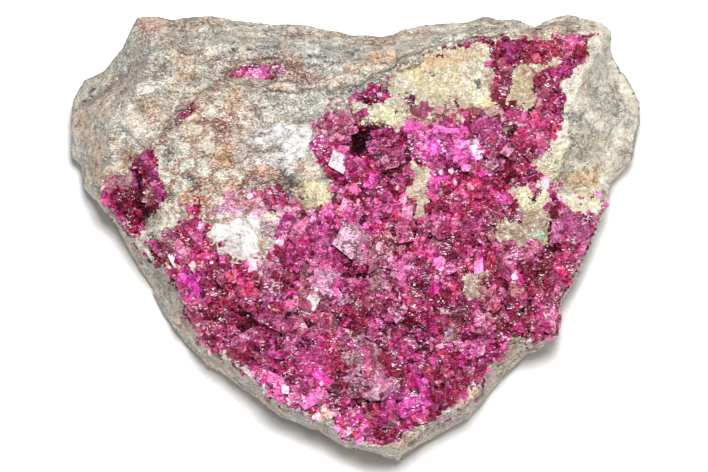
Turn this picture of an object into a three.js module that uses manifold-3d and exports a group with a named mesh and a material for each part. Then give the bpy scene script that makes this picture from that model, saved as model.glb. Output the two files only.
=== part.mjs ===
// A hand specimen of cobaltoan dolomite: a broken slab of grey dolomite rock whose upper face carries a
// druse of magenta crystals, three small crystal-lined pockets, and crusts of cream calcite over both.
// It lies on its flat back. Millimetres, +Z up, +X to the right and +Y away from someone facing it.
//
// The face is described on a sheet that leans towards the viewer: u runs to the right and v up the sheet,
// and z is the height above the table. A point of the sheet keeps its place in the viewer's eye whatever
// its height.

import * as THREE from "three";
import { mergeVertices } from "three/addons/utils/BufferGeometryUtils.js";
import Module from "manifold-3d";

const wasm = await Module();
wasm.setup();

// Driving dimensions
const FACE_LEAN = 12; // degrees between the line of sight and straight down
const FACE_LEVEL = 27; // usual height of the crystal face above the table
const PLAN_CENTRE = [-0.1, -4.31]; // middle of the slab's plan, which becomes the origin
const DRUSE_DEPTH = 3; // how deep the crystal crusts reach into the rock
const DRUSE_FLOOR = 21; // height down to which the main crust hangs over the edge
const POCKET_FLOOR = 10; // and the crusts in the pockets
const PLATE_FLOOR = 12; // the beds of rock are joined to the slab above this height
const DRUSE_RISE = 0.6; // how far the druse's ground mass stands above the face
const CREAM_DEPTH = 1.3; // how deep the cream crusts reach in
const CREAM_RISE = 1.1; // and how far their ground mass stands above the face
const GAP = 0.3; // free space between touching pieces
const FLAT_BACK_INSET = [3.8, 7]; // least and greatest distance of the flat back from the slab's edge
const SEAM_DEPTH = 1.6; // depth of the groove across the left of the rock
const LUMPS = [
  { size: 9, height: 1.5 },
  { size: 4, height: 0.9 },
]; // unevenness of the whole face: width and height of its lumps
const FACE_RINGS = 10; // rings of facets from the middle of the face to its edge
const CRUST_RINGS = 7; // the same for the ground mass of the crusts
const BED_RINGS = 5; // and for the beds that the crusts lie in
const OVERREACH = 1.1; // how far a cutting surface passes the slab's edge
const CUTTER_DEPTH = -20; // height down to which a cutting body reaches
const CUTTER_TOP = 70; // and up to which
const SIDE_ROWS = [
  { share: 0.6, inset: 0.6 },
  { share: 0.12, inset: 3 },
]; // corners down the broken sides: share of the edge's height, and how far in from the edge
const SIDE_ROUGHNESS = 1.6; // how far the broken sides go in and out
const SIDE_WAVES = { around: 9, height: 6 }; // their waves: lengths of arc to a wave's width, and its height
const BACK_WAVES = 2.5; // the same measure for the waves of the flat back's outline
const BREAK_REACH = 0.3; // a break cuts where the cosine of the angle to its direction is above this
const CRUST_JITTER = { size: 2.3, height: 2.4 }; // steps of the druse's ground mass: width and height
const CRYSTAL_PITCH = 6.5; // mean distance between the larger crystals of the druse
const CRYSTAL_EDGE = [2.6, 4.4]; // shortest and longest edge of those crystals
const CRYSTAL_LEAN = 68; // greatest lean of their upper faces, in degrees
const CRYSTAL_STRETCH = 0.8; // how much longer than wide they may be
const CRYSTAL_SCATTER = 0.8; // how far they leave their places in the grid, as a share of its pitch
const CRYSTAL_STAND = 0.02; // height of their middles above the ground mass, as a share of their edge
const STANDOUT_STAND = 0.12; // the same for the crystals that stand out
const POCKET_PITCH = 4.4;
const POCKET_EDGE = [1.8, 3.0];
const CREAM_PITCH = 4.6;
const CREAM_EDGE = [1.6, 2.6];
const RHOMB_ANGLE = 102; // obtuse plane angle of a dolomite cleavage rhomb
const MARGIN = 0.8; // crystals keep their centres this far inside the edge of their crust
const REACH = 60; // half the width of the grids that crystals are strewn on
const SEEDS = { druse: 10, pockets: 30, cream: 70, jitter: 88, lumps: 90, side: 95, back: 96 };

// The slab's edge as seen by the viewer, clockwise from the upper left: u, v, height of the edge above the
// table, and the width of the sloping border between the edge and the face.
const EDGE = [
  [-39.8, 39.6, 21, 6.5],
  [-38.7, 40.0, 22, 6.5],
  [-36.0, 39.7, 22, 7],
  [-33.5, 39.1, 21, 7],
  [-29.3, 39.6, 22, 6.5],
  [-26.2, 39.9, 22, 6.5],
  [-22.2, 39.0, 21, 6.5],
  [-15.6, 38.2, 20, 6],
  [-10.2, 38.2, 20, 6],
  [-6.9, 37.6, 20, 6],
  [-1.1, 36.4, 20, 5.5],
  [4.7, 36.1, 20, 5],
  [7.1, 36.8, 21, 4.5],
  [13.5, 38.2, 22, 4.5],
  [19.8, 38.5, 22, 4],
  [23.6, 39.8, 22, 4.5],
  [25.8, 39.2, 22, 4],
  [28.4, 39.3, 22, 3.5],
  [32.4, 38.0, 22, 3],
  [35.6, 39.2, 23, 4],
  [38.9, 40.3, 23, 4.5],
  [40.4, 39.5, 23, 4],
  [44.2, 38.6, 22, 3.5],
  [46.4, 37.1, 21, 3],
  [46.3, 33.6, 17, 5],
  [47.1, 31.6, 15, 8],
  [48.7, 29.5, 14, 11],
  [50.5, 26.7, 13, 13.5],
  [52.2, 23.3, 12, 15],
  [52.0, 21.3, 12, 15],
  [51.1, 18.4, 12, 15.5],
  [50.2, 13.6, 13, 15.5],
  [46.9, 10.9, 15, 12],
  [46.0, 7.8, 18, 6],
  [45.5, 5.1, 19, 2],
  [44.4, 2.9, 20, 1.4],
  [42.0, -3.1, 20, 1.3],
  [38.9, -9.3, 19, 1.3],
  [37.3, -11.8, 17, 1.8],
  [37.5, -15.5, 15, 2],
  [36.9, -17.6, 14, 2],
  [33.1, -20.9, 10, 2.8],
  [30.7, -21.8, 8, 3.4],
  [26.7, -25.5, 6, 3.2],
  [24.9, -27.8, 5, 3],
  [20.5, -33.3, 5, 3],
  [17.5, -34.9, 5, 3],
  [13.1, -37.3, 5, 3.2],
  [9.5, -39.5, 6, 2.6],
  [7.8, -40.4, 6, 2],
  [5.3, -40.1, 7, 1.6],
  [1.6, -39.2, 7, 1.4],
  [-4.2, -37.1, 5, 2.2],
  [-6.9, -35.5, 5, 2.2],
  [-13.1, -33.3, 4.5, 2.4],
  [-18.4, -29.5, 4.5, 2.4],
  [-23.6, -25.6, 4.5, 3],
  [-28.9, -21.8, 4.5, 3.8],
  [-32.7, -17.5, 4.5, 4.2],
  [-34.7, -14.9, 4, 4.8],
  [-37.3, -9.1, 4, 5.2],
  [-40.4, -4.2, 5, 3.2],
  [-43.8, 2.0, 7, 1.6],
  [-46.9, 6.0, 9, 1.4],
  [-49.6, 9.3, 10, 3],
  [-50.2, 12.9, 10, 5],
  [-51.8, 14.5, 10, 7],
  [-52.2, 17.3, 10, 8],
  [-51.6, 24.7, 11, 8],
  [-49.6, 28.2, 12, 8],
  [-45.8, 30.0, 14, 7],
  [-42.4, 34.2, 17, 6],
  [-40.4, 38.5, 20, 6],
];

// Swellings (rise above 0) and hollows of the face: middle, half-widths along and across, turn in degrees,
// and rise.
const SWELLINGS = [
  { name: "main vug", at: [-0.2, 17.6], half: [2.6, 3], turn: 0, rise: -7 },
  { name: "vug mouth", at: [2.9, 19], half: [2.2, 1.6], turn: 20, rise: -4 },
  { name: "pink spray", at: [16, 17.2], half: [10, 4.6], turn: -12, rise: 2.4 },
  { name: "trough under the spray", at: [18, 11.5], half: [10, 2.2], turn: -8, rise: -1.8 },
  { name: "right hole", at: [28.5, 17.8], half: [1.8, 3.2], turn: -20, rise: -5 },
  { name: "red lobe", at: [33, 19], half: [4.6, 6.5], turn: 0, rise: 1.6 },
  { name: "lower hole", at: [23.4, -2], half: [1.2, 3], turn: 10, rise: -3.2 },
  { name: "left crevice", at: [-12.8, -15.2], half: [1.5, 3.4], turn: -15, rise: -3.4 },
  { name: "lower right pit", at: [31.6, -13.3], half: [1.7, 1.7], turn: 0, rise: -2.6 },
  { name: "cream hump", at: [14, 28], half: [12, 5], turn: 22, rise: 2.2 },
  { name: "cream tongue", at: [3.2, 21.8], half: [4, 2], turn: 10, rise: 2.2 },
  { name: "pit behind the tongue", at: [2.8, 25], half: [2.2, 1.4], turn: 20, rise: -2.4 },
  { name: "hollow of the ridge patch", at: [30.5, 26.5], half: [3.2, 5], turn: -10, rise: -1.4 },
  { name: "right knob", at: [32.2, 7], half: [3.6, 3.2], turn: 0, rise: 1.6 },
  { name: "lower knob", at: [21.5, -9], half: [2.6, 3.8], turn: 20, rise: 1.5 },
  { name: "big rhomb's seat", at: [-1, -1], half: [6, 6], turn: 0, rise: 1.8 },
  { name: "lower left basin", at: [-21, -13.5], half: [8, 5], turn: -20, rise: -1.6 },
  { name: "dark trough", at: [-24, -7], half: [6, 2], turn: -15, rise: -1.6 },
  { name: "white boss", at: [-20.5, 0.2], half: [5.6, 4.4], turn: -15, rise: 1.9 },
  { name: "white cleavage face", at: [-13, 15.5], half: [8, 6], turn: 25, rise: 1.7 },
  { name: "stained knobs", at: [-24, 15], half: [5, 7], turn: 0, rise: 1.2 },
  { name: "left pocket", at: [-40.9, 4.6], half: [4.6, 6], turn: 18, rise: -8 },
  { name: "left pocket's throat", at: [-38.8, 9.6], half: [1.8, 3.6], turn: 10, rise: -3.5 },
  { name: "pocket's pale knob", at: [-37, 7.6], half: [2, 2], turn: 0, rise: 2.5 },
  { name: "upper pocket", at: [-17.6, 29.6], half: [5.2, 2], turn: 6, rise: -2.6 },
  { name: "brown hollow", at: [-8, 28.8], half: [5, 2.4], turn: -8, rise: -1.6 },
  { name: "lower tip", at: [4, -33], half: [9, 8], turn: 0, rise: -2 },
  { name: "right flank", at: [33, -6], half: [7, 12], turn: -20, rise: -1.2 },
  { name: "shoulder of the right rock", at: [44, 22], half: [5, 7], turn: 0, rise: 2.2 },
];

// Beds of rock that stand above the face with a sharp edge: outline on the sheet, clockwise, and rise.
const PLATES = [
  {
    name: "upper plate",
    rise: 1.7,
    outline: [
      [-38.2, 15.2], [-42.5, 20], [-41.5, 27], [-37, 33.5], [-30, 36], [-22, 35.6], [-12, 34.8],
      [-2, 33.2],
      [7, 34.4], [17, 36.6], [26, 37.6], [34, 38], [33.5, 37.2], [26.2, 36.2], [17.1, 34.8], [8, 31.9],
      [0.7, 27.6], [-2.9, 26.6], [-12, 26.2], [-22.9, 27.2], [-28.4, 25.4], [-33, 20.6],
    ],
  },
  {
    name: "second bed",
    rise: 2.8,
    outline: [[-4, 31.6], [5, 33], [14, 36.4], [24, 38], [24, 37.2], [15, 35], [7, 31.9], [-2, 30]],
  },
  {
    name: "upper left block",
    rise: 2.7,
    outline: [[-40, 28.5], [-36.5, 34.2], [-29.5, 36.4], [-27, 35.5], [-28.5, 33], [-33, 31.8], [-36, 28.4]],
  },
  {
    name: "white block",
    rise: 0.9,
    outline: [[-21, 11.8], [-18.6, 18], [-13, 21.6], [-6.8, 20.2], [-8.2, 14.4], [-12, 9.8], [-17, 9.4]],
  },
];

// A dark groove where the rock has parted, as a narrow outline on the sheet.
const SEAM = [[-50.5, 23.8], [-44, 28.6], [-37.4, 33.2], [-37, 32.5], [-43.6, 27.6], [-50.2, 22.6]];

// Flat breaks of the hidden sides: direction in the plan, distance from the middle at table level, and
// outward lean.
const BREAKS = [
  { facing: 178, distance: 48, lean: 14 },
  { facing: 140, distance: 46.5, lean: 10 },
  { facing: 112, distance: 36.5, lean: 9 },
  { facing: 84, distance: 35, lean: 11 },
  { facing: 52, distance: 50, lean: 10 },
  { facing: 8, distance: 47.5, lean: 16 },
  { facing: 335, distance: 43, lean: 9 },
  { facing: 316, distance: 34.5, lean: 8 },
];

// Outlines of what grew on the rock, on the same sheet as the edge.
const MAIN_DRUSE = [
  [-8.4, 20.5], [-2, 23.5], [-0.7, 25.5], [2.9, 27.6], [16.2, 34.2], [26.7, 36], [34.4, 35.6],
  [42.9, 37.1], [44.2, 36.2], [37.6, 27.3], [37.5, 20.9], [34.7, 16.7], [35.1, 15.5], [32.5, 12.5],
  [38.2, 5.6], [39.8, 7.3], [42.5, 8], [45.2, 6.2], [44.3, 2.8], [41.9, -3.2], [38.8, -9.3], [36.6, -12.4],
  [37.4, -15.5], [36.8, -17.7], [34.4, -19.6], [29.6, -18.5], [23.8, -23.8], [20.4, -29.5], [5.1, -38.2],
  [-2, -37],
  [-4.5, -33.6], [-8, -33.4], [-12.5, -30.7], [-26.2, -20.4], [-31.3, -14.5], [-31.5, -11.8],
  [-34.4, -6.7], [-38.4, -2.5], [-32.4, 1.5], [-29.3, 5.1], [-27.8, 3.8], [-25.1, -2.5], [-21.1, -4.9],
  [-16.9, -3.8], [-13.3, -0.9], [-14.4, 3.5], [-17.5, 6.9], [-16, 8.2], [-7.9, 4.7], [-5.1, 5.6],
  [-4.4, 7.5], [-4.5, 10], [-6.9, 13.1], [-7.1, 16.2], [-9.3, 19.1],
];
const LEFT_POCKET = [
  [-47, 6.9], [-44.4, 9.3], [-42.5, 10.2], [-38, 15.5], [-36.9, 14.5], [-36.4, 12.5], [-34.2, 8.9],
  [-34.2, 7.3], [-37.6, 3.3], [-37.6, 0.9], [-39.1, -1.4], [-40.9, -0.9],
];
const UPPER_POCKET = [
  [-24.4, 28.2], [-22.5, 30.2], [-20.2, 31.5], [-17.1, 31.5], [-14.9, 32.4], [-12.7, 31.8], [-12, 29.6],
  [-12.9, 27.8], [-14.9, 26.7], [-20, 28.2], [-22.2, 27.8],
];
const LEDGE_POCKET = [
  [-35.4, 20.4], [-33.5, 22.6], [-31.1, 23.7], [-29.3, 25.1], [-28.2, 24.5], [-30, 22.2], [-32, 20.7],
  [-33.8, 20],
];
const CREAM_UPPER = [
  [-0.5, 23], [1.2, 24.2], [4.4, 24.2], [5.8, 25.2], [5.2, 27.5], [9.8, 31.5], [12.5, 32.7], [22.5, 34.7],
  [24.4, 34], [25.1, 31.8], [24.5, 29.1], [26, 24], [24.9, 22.7], [20.7, 23], [18, 22.2], [12.5, 22.9],
  [7.1, 18.8], [5.6, 20.4], [3.5, 19.7], [1.5, 20.2],
];
const CREAM_RIDGE = [
  [27.6, 29.6], [36.2, 32.5], [37.4, 31.8], [33.6, 28.9], [32.3, 26.6], [33.2, 25.1], [30.4, 22.7],
  [29.5, 21.1], [28.2, 22.2], [27.5, 24.5],
];
const CREAM_RIGHT = [
  [28.9, 8.5], [32.5, 9.8], [34.4, 8.9], [35.1, 7.3], [34.4, 5.5], [35.1, 3.6], [34.5, -2.5], [32.5, -2.9],
  [30.7, -2], [26.2, -1.5], [25.1, 0], [25.6, 1.6], [29.3, 5.1], [28.5, 6.7],
];
const CREAM_EDGE_PATCH = [
  [38.2, 5.4], [38.2, 7.8], [42.9, 8.3], [44.4, 6.9], [44.5, 4.9], [43.6, 3.5], [39.6, 4.4],
];
const CREAM_LOW = [
  [19.3, -7.3], [20.7, -6], [22.5, -6], [23.8, -7.6], [23.6, -9.6], [21.1, -12.7], [19.6, -12.2],
  [18.9, -10],
];
const CREAM_MID = [
  [10.2, 12.5], [12.4, 12.2], [14.5, 10.5], [13.3, 8.9], [12.5, 3.6], [10.9, 3.1], [9.8, 5.5], [8.7, 10.5],
];
// Single crystals that stand out of the druse: middle of the upper face, its edge, how far the face turns on
// the sheet, how far it leans and which way, all in degrees, and how much longer than wide the crystal is.
const LARGE_CRYSTALS = [
  { at: [-1.0, -0.6], edge: 4.9, turn: -38, lean: 10, towards: 200, long: 1 },
  { at: [-5.0, -8.0], edge: 4.3, turn: -30, lean: 16, towards: 240, long: 1 },
  { at: [-2.6, 13.4], edge: 2.7, turn: -30, lean: 14, towards: 60, long: 1 },
  { at: [-7.9, -11.9], edge: 2.9, turn: 60, lean: 22, towards: 200, long: 1.4 },
  { at: [-5.9, -2.2], edge: 2.6, turn: 78, lean: 35, towards: 190, long: 2.1 },
  { at: [-12.7, 1.6], edge: 2.4, turn: 60, lean: 38, towards: 200, long: 2 },
  { at: [-5.9, 15.3], edge: 2.2, turn: -60, lean: 34, towards: 210, long: 2.2 },
  { at: [10.6, -30.8], edge: 3.3, turn: 25, lean: 30, towards: 120, long: 1.8 },
  { at: [5.8, -27.6], edge: 2.5, turn: 38, lean: 46, towards: 120, long: 2.3 },
  { at: [-15.8, -10], edge: 3, turn: 70, lean: 42, towards: 250, long: 1.5 },
  { at: [-7.4, -22.8], edge: 3.8, turn: 20, lean: 26, towards: 280, long: 1.3 },
  { at: [36.9, 1.8], edge: 2.6, turn: 84, lean: 40, towards: 170, long: 2.4 },
  { at: [40, 1.5], edge: 3.3, turn: 30, lean: 30, towards: 330, long: 1.1 },
];

const RADIANS = Math.PI / 180;
const LEAN_SIN = Math.sin(FACE_LEAN * RADIANS);
const LEAN_COS = Math.cos(FACE_LEAN * RADIANS);
const CREAM_OUTLINES = [CREAM_UPPER, CREAM_RIDGE, CREAM_RIGHT, CREAM_EDGE_PATCH, CREAM_LOW, CREAM_MID];

const clamp = (value, low, high) => Math.min(high, Math.max(low, value));
const smooth = (share) => share * share * (3 - 2 * share);

// A number from 0 to 1 that depends on three whole numbers alone, so the specimen is the same every time.
function chance(i, j, k) {
  const wave = Math.sin(i * 127.1 + j * 311.7 + k * 74.7 + 0.5) * 43758.5453;
  return wave - Math.floor(wave);
}

// The edge by its angle around the middle of the sheet.
const edgeByAngle = EDGE.map(([u, v, height, border]) => ({
  angle: Math.atan2(v, u),
  radius: Math.hypot(u, v),
  height,
  border,
})).sort((a, b) => a.angle - b.angle);

// The slab's edge in one direction, between the two named points of the edge on either side of it.
function edgeAt(angle) {
  let after = edgeByAngle.findIndex((point) => point.angle > angle);
  if (after < 0) after = 0;
  const b = edgeByAngle[after];
  const a = edgeByAngle[(after + edgeByAngle.length - 1) % edgeByAngle.length];
  const turn = 2 * Math.PI;
  const span = (b.angle - a.angle + turn) % turn;
  const share = ((angle - a.angle + turn) % turn) / span;
  const between = (key) => a[key] + (b[key] - a[key]) * share;
  return { radius: between("radius"), height: between("height"), border: between("border") };
}

// How much of a swelling is felt at a point: 1 in its middle, falling like a bell.
function swellingShare(u, v, { at, half, turn }) {
  const du = u - at[0];
  const dv = v - at[1];
  const along = (du * Math.cos(turn * RADIANS) + dv * Math.sin(turn * RADIANS)) / half[0];
  const across = (dv * Math.cos(turn * RADIANS) - du * Math.sin(turn * RADIANS)) / half[1];
  return Math.exp(-(along * along + across * across));
}

// Smooth unevenness from -0.5 to 0.5 with lumps about one unit wide.
function unevenness(x, y, seed) {
  const i = Math.floor(x);
  const j = Math.floor(y);
  const a = smooth(x - i);
  const b = smooth(y - j);
  const low = chance(i, j, seed) * (1 - a) + chance(i + 1, j, seed) * a;
  const high = chance(i, j + 1, seed) * (1 - a) + chance(i + 1, j + 1, seed) * a;
  return low * (1 - b) + high * b - 0.5;
}

// Height of the slab's upper side above the table, the rock's own surface before anything grew on it.
function faceHeight(u, v) {
  let inner = FACE_LEVEL;
  for (const swelling of SWELLINGS) inner += swelling.rise * swellingShare(u, v, swelling);
  LUMPS.forEach(({ size, height }, n) => {
    inner += height * unevenness(u / size, v / size, SEEDS.lumps + n);
  });
  const edge = edgeAt(Math.atan2(v, u));
  const share = clamp((edge.radius - Math.hypot(u, v)) / edge.border, 0, 1);
  return edge.height + (inner - edge.height) * share;
}

// From the sheet to the table: a place seen at u, v that lies at height z.
function place(u, v, z) {
  return new THREE.Vector3(u - PLAN_CENTRE[0], (v - z * LEAN_SIN) / LEAN_COS - PLAN_CENTRE[1], z);
}

function solidOf(geometry) {
  const bare = geometry.clone();
  bare.deleteAttribute("normal");
  bare.deleteAttribute("uv");
  const merged = mergeVertices(bare, 1e-4);
  const mesh = new wasm.Mesh({
    numProp: 3,
    vertProperties: new Float32Array(merged.attributes.position.array),
    triVerts: new Uint32Array(merged.index.array),
  });
  return new wasm.Manifold(mesh);
}

function geometryOf(solid) {
  const mesh = solid.getMesh();
  const positions = new Float32Array(mesh.numVert * 3);
  for (let i = 0; i < mesh.numVert; i++) {
    positions.set(mesh.vertProperties.subarray(i * mesh.numProp, i * mesh.numProp + 3), i * 3);
  }
  const geometry = new THREE.BufferGeometry();
  geometry.setAttribute("position", new THREE.BufferAttribute(positions, 3));
  geometry.setIndex(new THREE.BufferAttribute(new Uint32Array(mesh.triVerts), 1));
  geometry.computeVertexNormals();
  return geometry;
}

// A closed body under the slab's whole face. Its upper side is rings of facets at heightAt(u, v): the inner
// rings end on the inner line of the border, then come the edge and any rings past it, given as shares of
// the edge's distance. Closing rows run from the outermost ring down and under.
function bodyUnderFace(innerRings, outerShares, heightAt, closingRows) {
  const rings = innerRings + outerShares.length;
  const points = [place(0, 0, heightAt(0, 0))];
  const ringStart = [0];
  for (let ring = 1; ring <= rings; ring++) {
    ringStart.push(points.length);
    for (let k = 0; k < 6 * ring; k++) {
      const angle = (k / (6 * ring)) * 2 * Math.PI - Math.PI + 1e-4;
      const edge = edgeAt(angle);
      const inside = 1 - edge.border / edge.radius;
      const share = ring > innerRings ? outerShares[ring - innerRings - 1] : (inside * ring) / innerRings;
      const u = Math.cos(angle) * edge.radius * share;
      const v = Math.sin(angle) * edge.radius * share;
      points.push(place(u, v, heightAt(u, v)));
    }
  }
  const index = [];
  for (let ring = 0; ring < rings; ring++) {
    const inner = Math.max(6 * ring, 1);
    const outer = 6 * (ring + 1);
    for (let side = 0; side < 6; side++) {
      for (let k = 0; k <= ring; k++) {
        const a = ringStart[ring] + ((side * ring + k) % inner);
        const b = ringStart[ring + 1] + ((side * (ring + 1) + k) % outer);
        const c = ringStart[ring + 1] + ((side * (ring + 1) + k + 1) % outer);
        index.push(a, b, c);
        if (k < ring) {
          const d = ringStart[ring] + ((side * ring + k + 1) % inner);
          index.push(a, c, d);
        }
      }
    }
  }
  const count = 6 * rings;
  let above = ringStart[rings];
  for (const row of closingRows) {
    const below = points.length;
    for (let k = 0; k < count; k++) points.push(row(points[ringStart[rings] + k]));
    for (let k = 0; k < count; k++) {
      const next = (k + 1) % count;
      index.push(above + k, below + k, below + next, above + k, below + next, above + next);
    }
    above = below;
  }
  const middle = points.length;
  const lowest = points[above].z;
  points.push(new THREE.Vector3(0, 0, lowest));
  for (let k = 0; k < count; k++) index.push(above + k, middle, above + ((k + 1) % count));
  const geometry = new THREE.BufferGeometry().setFromPoints(points);
  geometry.setIndex(index);
  return geometry;
}

// A point of the slab's broken side below a point of its edge: pulled in by the breaks and by an inset.
function sidePoint(edgePoint, heightShare, inset) {
  const z = edgePoint.z * heightShare;
  const angle = Math.atan2(edgePoint.y, edgePoint.x);
  const out = Math.hypot(edgePoint.x, edgePoint.y);
  const wave = unevenness(angle * SIDE_WAVES.around, z / SIDE_WAVES.height, SEEDS.side);
  const rough = SIDE_ROUGHNESS * wave * (1 - heightShare);
  let radius = out - inset + rough;
  for (const { facing, distance, lean } of BREAKS) {
    const towards = Math.cos(angle - facing * RADIANS);
    if (towards > BREAK_REACH) radius = Math.min(radius, (distance + z * Math.tan(lean * RADIANS)) / towards);
  }
  return new THREE.Vector3(Math.cos(angle) * radius, Math.sin(angle) * radius, z);
}

// A point of the flat back's outline, further in than the side above it.
function backPoint(edgePoint) {
  const lowest = SIDE_ROWS[SIDE_ROWS.length - 1];
  const side = sidePoint(edgePoint, lowest.share, lowest.inset);
  const length = Math.hypot(side.x, side.y);
  const [least, greatest] = FLAT_BACK_INSET;
  const wave = unevenness(Math.atan2(side.y, side.x) * BACK_WAVES, 0, SEEDS.back) + 0.5;
  const share = (length - least - (greatest - least) * wave + lowest.inset) / length;
  return new THREE.Vector3(side.x * share, side.y * share, 0);
}

// The bare slab, raised by a height, before its crusts are let into it.
function slabBody(raised) {
  return bodyUnderFace(FACE_RINGS, [1], (u, v) => faceHeight(u, v) + raised, [
    ...SIDE_ROWS.map(({ share, inset }) => (edgePoint) => sidePoint(edgePoint, share, inset)),
    backPoint,
  ]);
}

// Everything under a surface that follows the face at a distance: what lies above it can be cut away with it.
function bodyBelow(rings, offset, jitter = 0) {
  const { size } = CRUST_JITTER;
  const step = (u, v) => jitter * unevenness(u / size, v / size, SEEDS.jitter);
  const heightAt = (u, v) => faceHeight(u, v) + offset + step(u, v);
  return bodyUnderFace(rings, [1, OVERREACH], heightAt, [
    (edgePoint) => new THREE.Vector3(edgePoint.x, edgePoint.y, CUTTER_DEPTH),
  ]);
}

// The outline, which runs clockwise, moved outwards by a distance with its corners mitred.
function grown(outline, distance) {
  return outline.map(([u, v], i) => {
    const [pu, pv] = outline[(i + outline.length - 1) % outline.length];
    const [nu, nv] = outline[(i + 1) % outline.length];
    const before = new THREE.Vector2(pv - v, u - pu).normalize();
    const after = new THREE.Vector2(v - nv, nu - u).normalize();
    const mitre = before.clone().add(after).normalize();
    const reach = distance / Math.max(0.5, mitre.dot(before));
    return [u + mitre.x * reach, v + mitre.y * reach];
  });
}

// A prism over an outline, along the line of sight, from a height up through the face.
function prismOver(outline, low) {
  const shape = new THREE.Shape(outline.map(([u, v]) => new THREE.Vector2(u, v)));
  const geometry = new THREE.ExtrudeGeometry(shape, { depth: CUTTER_TOP - low, bevelEnabled: false });
  const position = geometry.attributes.position;
  for (let i = 0; i < position.count; i++) {
    const point = place(position.getX(i), position.getY(i), position.getZ(i) + low);
    position.setXYZ(i, point.x, point.y, point.z);
  }
  return geometry;
}

function isInside(outline, u, v) {
  let inside = false;
  outline.forEach(([au, av], i) => {
    const [bu, bv] = outline[(i + outline.length - 1) % outline.length];
    if (av > v !== bv > v && u < ((bu - au) * (v - av)) / (bv - av) + au) inside = !inside;
  });
  return inside;
}

// Edges of a cleavage rhomb of edge 1 whose first face lies level.
function rhombEdges() {
  const cos = Math.cos(RHOMB_ANGLE * RADIANS);
  const sin = Math.sin(RHOMB_ANGLE * RADIANS);
  const across = (cos - cos * cos) / sin;
  return [
    new THREE.Vector3(1, 0, 0),
    new THREE.Vector3(cos, sin, 0),
    new THREE.Vector3(cos, across, Math.sqrt(1 - cos * cos - across * across)),
  ];
}

// One crystal: a rhomb whose upper face is turned about the line of sight and leaned, centred on a point.
function crystal({ centre, edge, turn, lean, towards, long }) {
  const [a, b, c] = rhombEdges().map((side) => side.multiplyScalar(edge));
  const shape = new THREE.Matrix4().makeBasis(a.multiplyScalar(long), b, c);
  const spin = new THREE.Matrix4().makeRotationZ(turn * RADIANS);
  const axis = new THREE.Vector3(-Math.sin(towards * RADIANS), Math.cos(towards * RADIANS), 0);
  const tip = new THREE.Matrix4().makeRotationAxis(axis, lean * RADIANS);
  const face = new THREE.Matrix4().makeRotationX(FACE_LEAN * RADIANS);
  const move = new THREE.Matrix4().makeTranslation(centre.x, centre.y, centre.z);
  const matrix = move.multiply(face).multiply(tip).multiply(spin).multiply(shape);
  return new THREE.BoxGeometry(1, 1, 1).applyMatrix4(matrix);
}

// Crystals strewn over an outline at a mean distance, each a little off its place, turned and leaned by
// chance.
function strewnCrystals(outline, keepOff, pitch, [shortest, longest], rise, seed) {
  const made = [];
  const steps = Math.ceil(REACH / pitch);
  const within = grown(outline, -MARGIN);
  const without = keepOff.map((patch) => grown(patch, MARGIN));
  for (let i = -steps; i <= steps; i++) {
    for (let j = -steps; j <= steps; j++) {
      const u = (i + CRYSTAL_SCATTER * (chance(i, j, seed) - 0.5)) * pitch;
      const v = (j + CRYSTAL_SCATTER * (chance(i, j, seed + 1) - 0.5)) * pitch;
      if (!isInside(within, u, v) || without.some((patch) => isInside(patch, u, v))) continue;
      const edge = shortest + (longest - shortest) * chance(i, j, seed + 2) ** 2;
      const z = faceHeight(u, v) + rise + CRYSTAL_STAND * edge;
      made.push({
        centre: place(u, v, z),
        edge,
        turn: 360 * chance(i, j, seed + 3),
        lean: CRYSTAL_LEAN * Math.sqrt(chance(i, j, seed + 4)),
        towards: 360 * chance(i, j, seed + 5),
        long: 1 + CRYSTAL_STRETCH * chance(i, j, seed + 6) ** 2,
      });
    }
  }
  return made;
}

// A crust let into whatever lies under it: the layer between two surfaces that follow the face, inside an
// outline, with its crystals fused to it.
function crust(outline, floor, depth, rise, crystals, jitter = 0) {
  const prism = solidOf(prismOver(outline, floor));
  const top = solidOf(bodyBelow(CRUST_RINGS, rise, jitter));
  const bed = solidOf(bodyBelow(BED_RINGS, -depth));
  let solid = prism.intersect(top);
  if (crystals.length) {
    solid = wasm.Manifold.union([solid, ...crystals.map((one) => solidOf(crystal(one)))]);
    solid = solid.intersect(prism);
  }
  return largestPiece(solid.subtract(bed));
}

// The room that a crust takes from what lies under it.
function seatFor(outline, floor, depth) {
  const room = solidOf(prismOver(grown(outline, GAP), floor - GAP));
  return room.subtract(solidOf(bodyBelow(BED_RINGS, -depth - GAP)));
}

function largestPiece(solid) {
  return solid.decompose().sort((a, b) => b.volume() - a.volume())[0];
}

const stone = (color, roughness) => new THREE.MeshStandardMaterial({ color, roughness, metalness: 0 });
const rockFinish = stone(0xa9a398, 0.85);
const druseFinish = stone(0xb5246f, 0.3);
const pocketFinish = stone(0x93154f, 0.3);
const creamFinish = stone(0xe6dcc0, 0.7);

const group = new THREE.Group();

function addPiece(name, solid, finish) {
  const mesh = new THREE.Mesh(geometryOf(solid), finish);
  mesh.name = name;
  group.add(mesh);
}

// The cream crusts lie over everything else, so they are made whole and the others give them room.
const creamCrusts = [
  ["cream_crust_upper", CREAM_UPPER],
  ["cream_crust_ridge", CREAM_RIDGE],
  ["cream_crust_right", CREAM_RIGHT],
  ["cream_crust_edge", CREAM_EDGE_PATCH],
  ["cream_knob_low", CREAM_LOW],
  ["cream_knob_mid", CREAM_MID],
];
creamCrusts.forEach(([name, outline], n) => {
  const grains = strewnCrystals(outline, [], CREAM_PITCH, CREAM_EDGE, CREAM_RISE, SEEDS.cream + 10 * n);
  addPiece(name, crust(outline, DRUSE_FLOOR, CREAM_DEPTH, CREAM_RISE, grains), creamFinish);
});
const creamSeats = wasm.Manifold.union(
  CREAM_OUTLINES.map((outline) => seatFor(outline, DRUSE_FLOOR, CREAM_DEPTH)),
);

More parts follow.
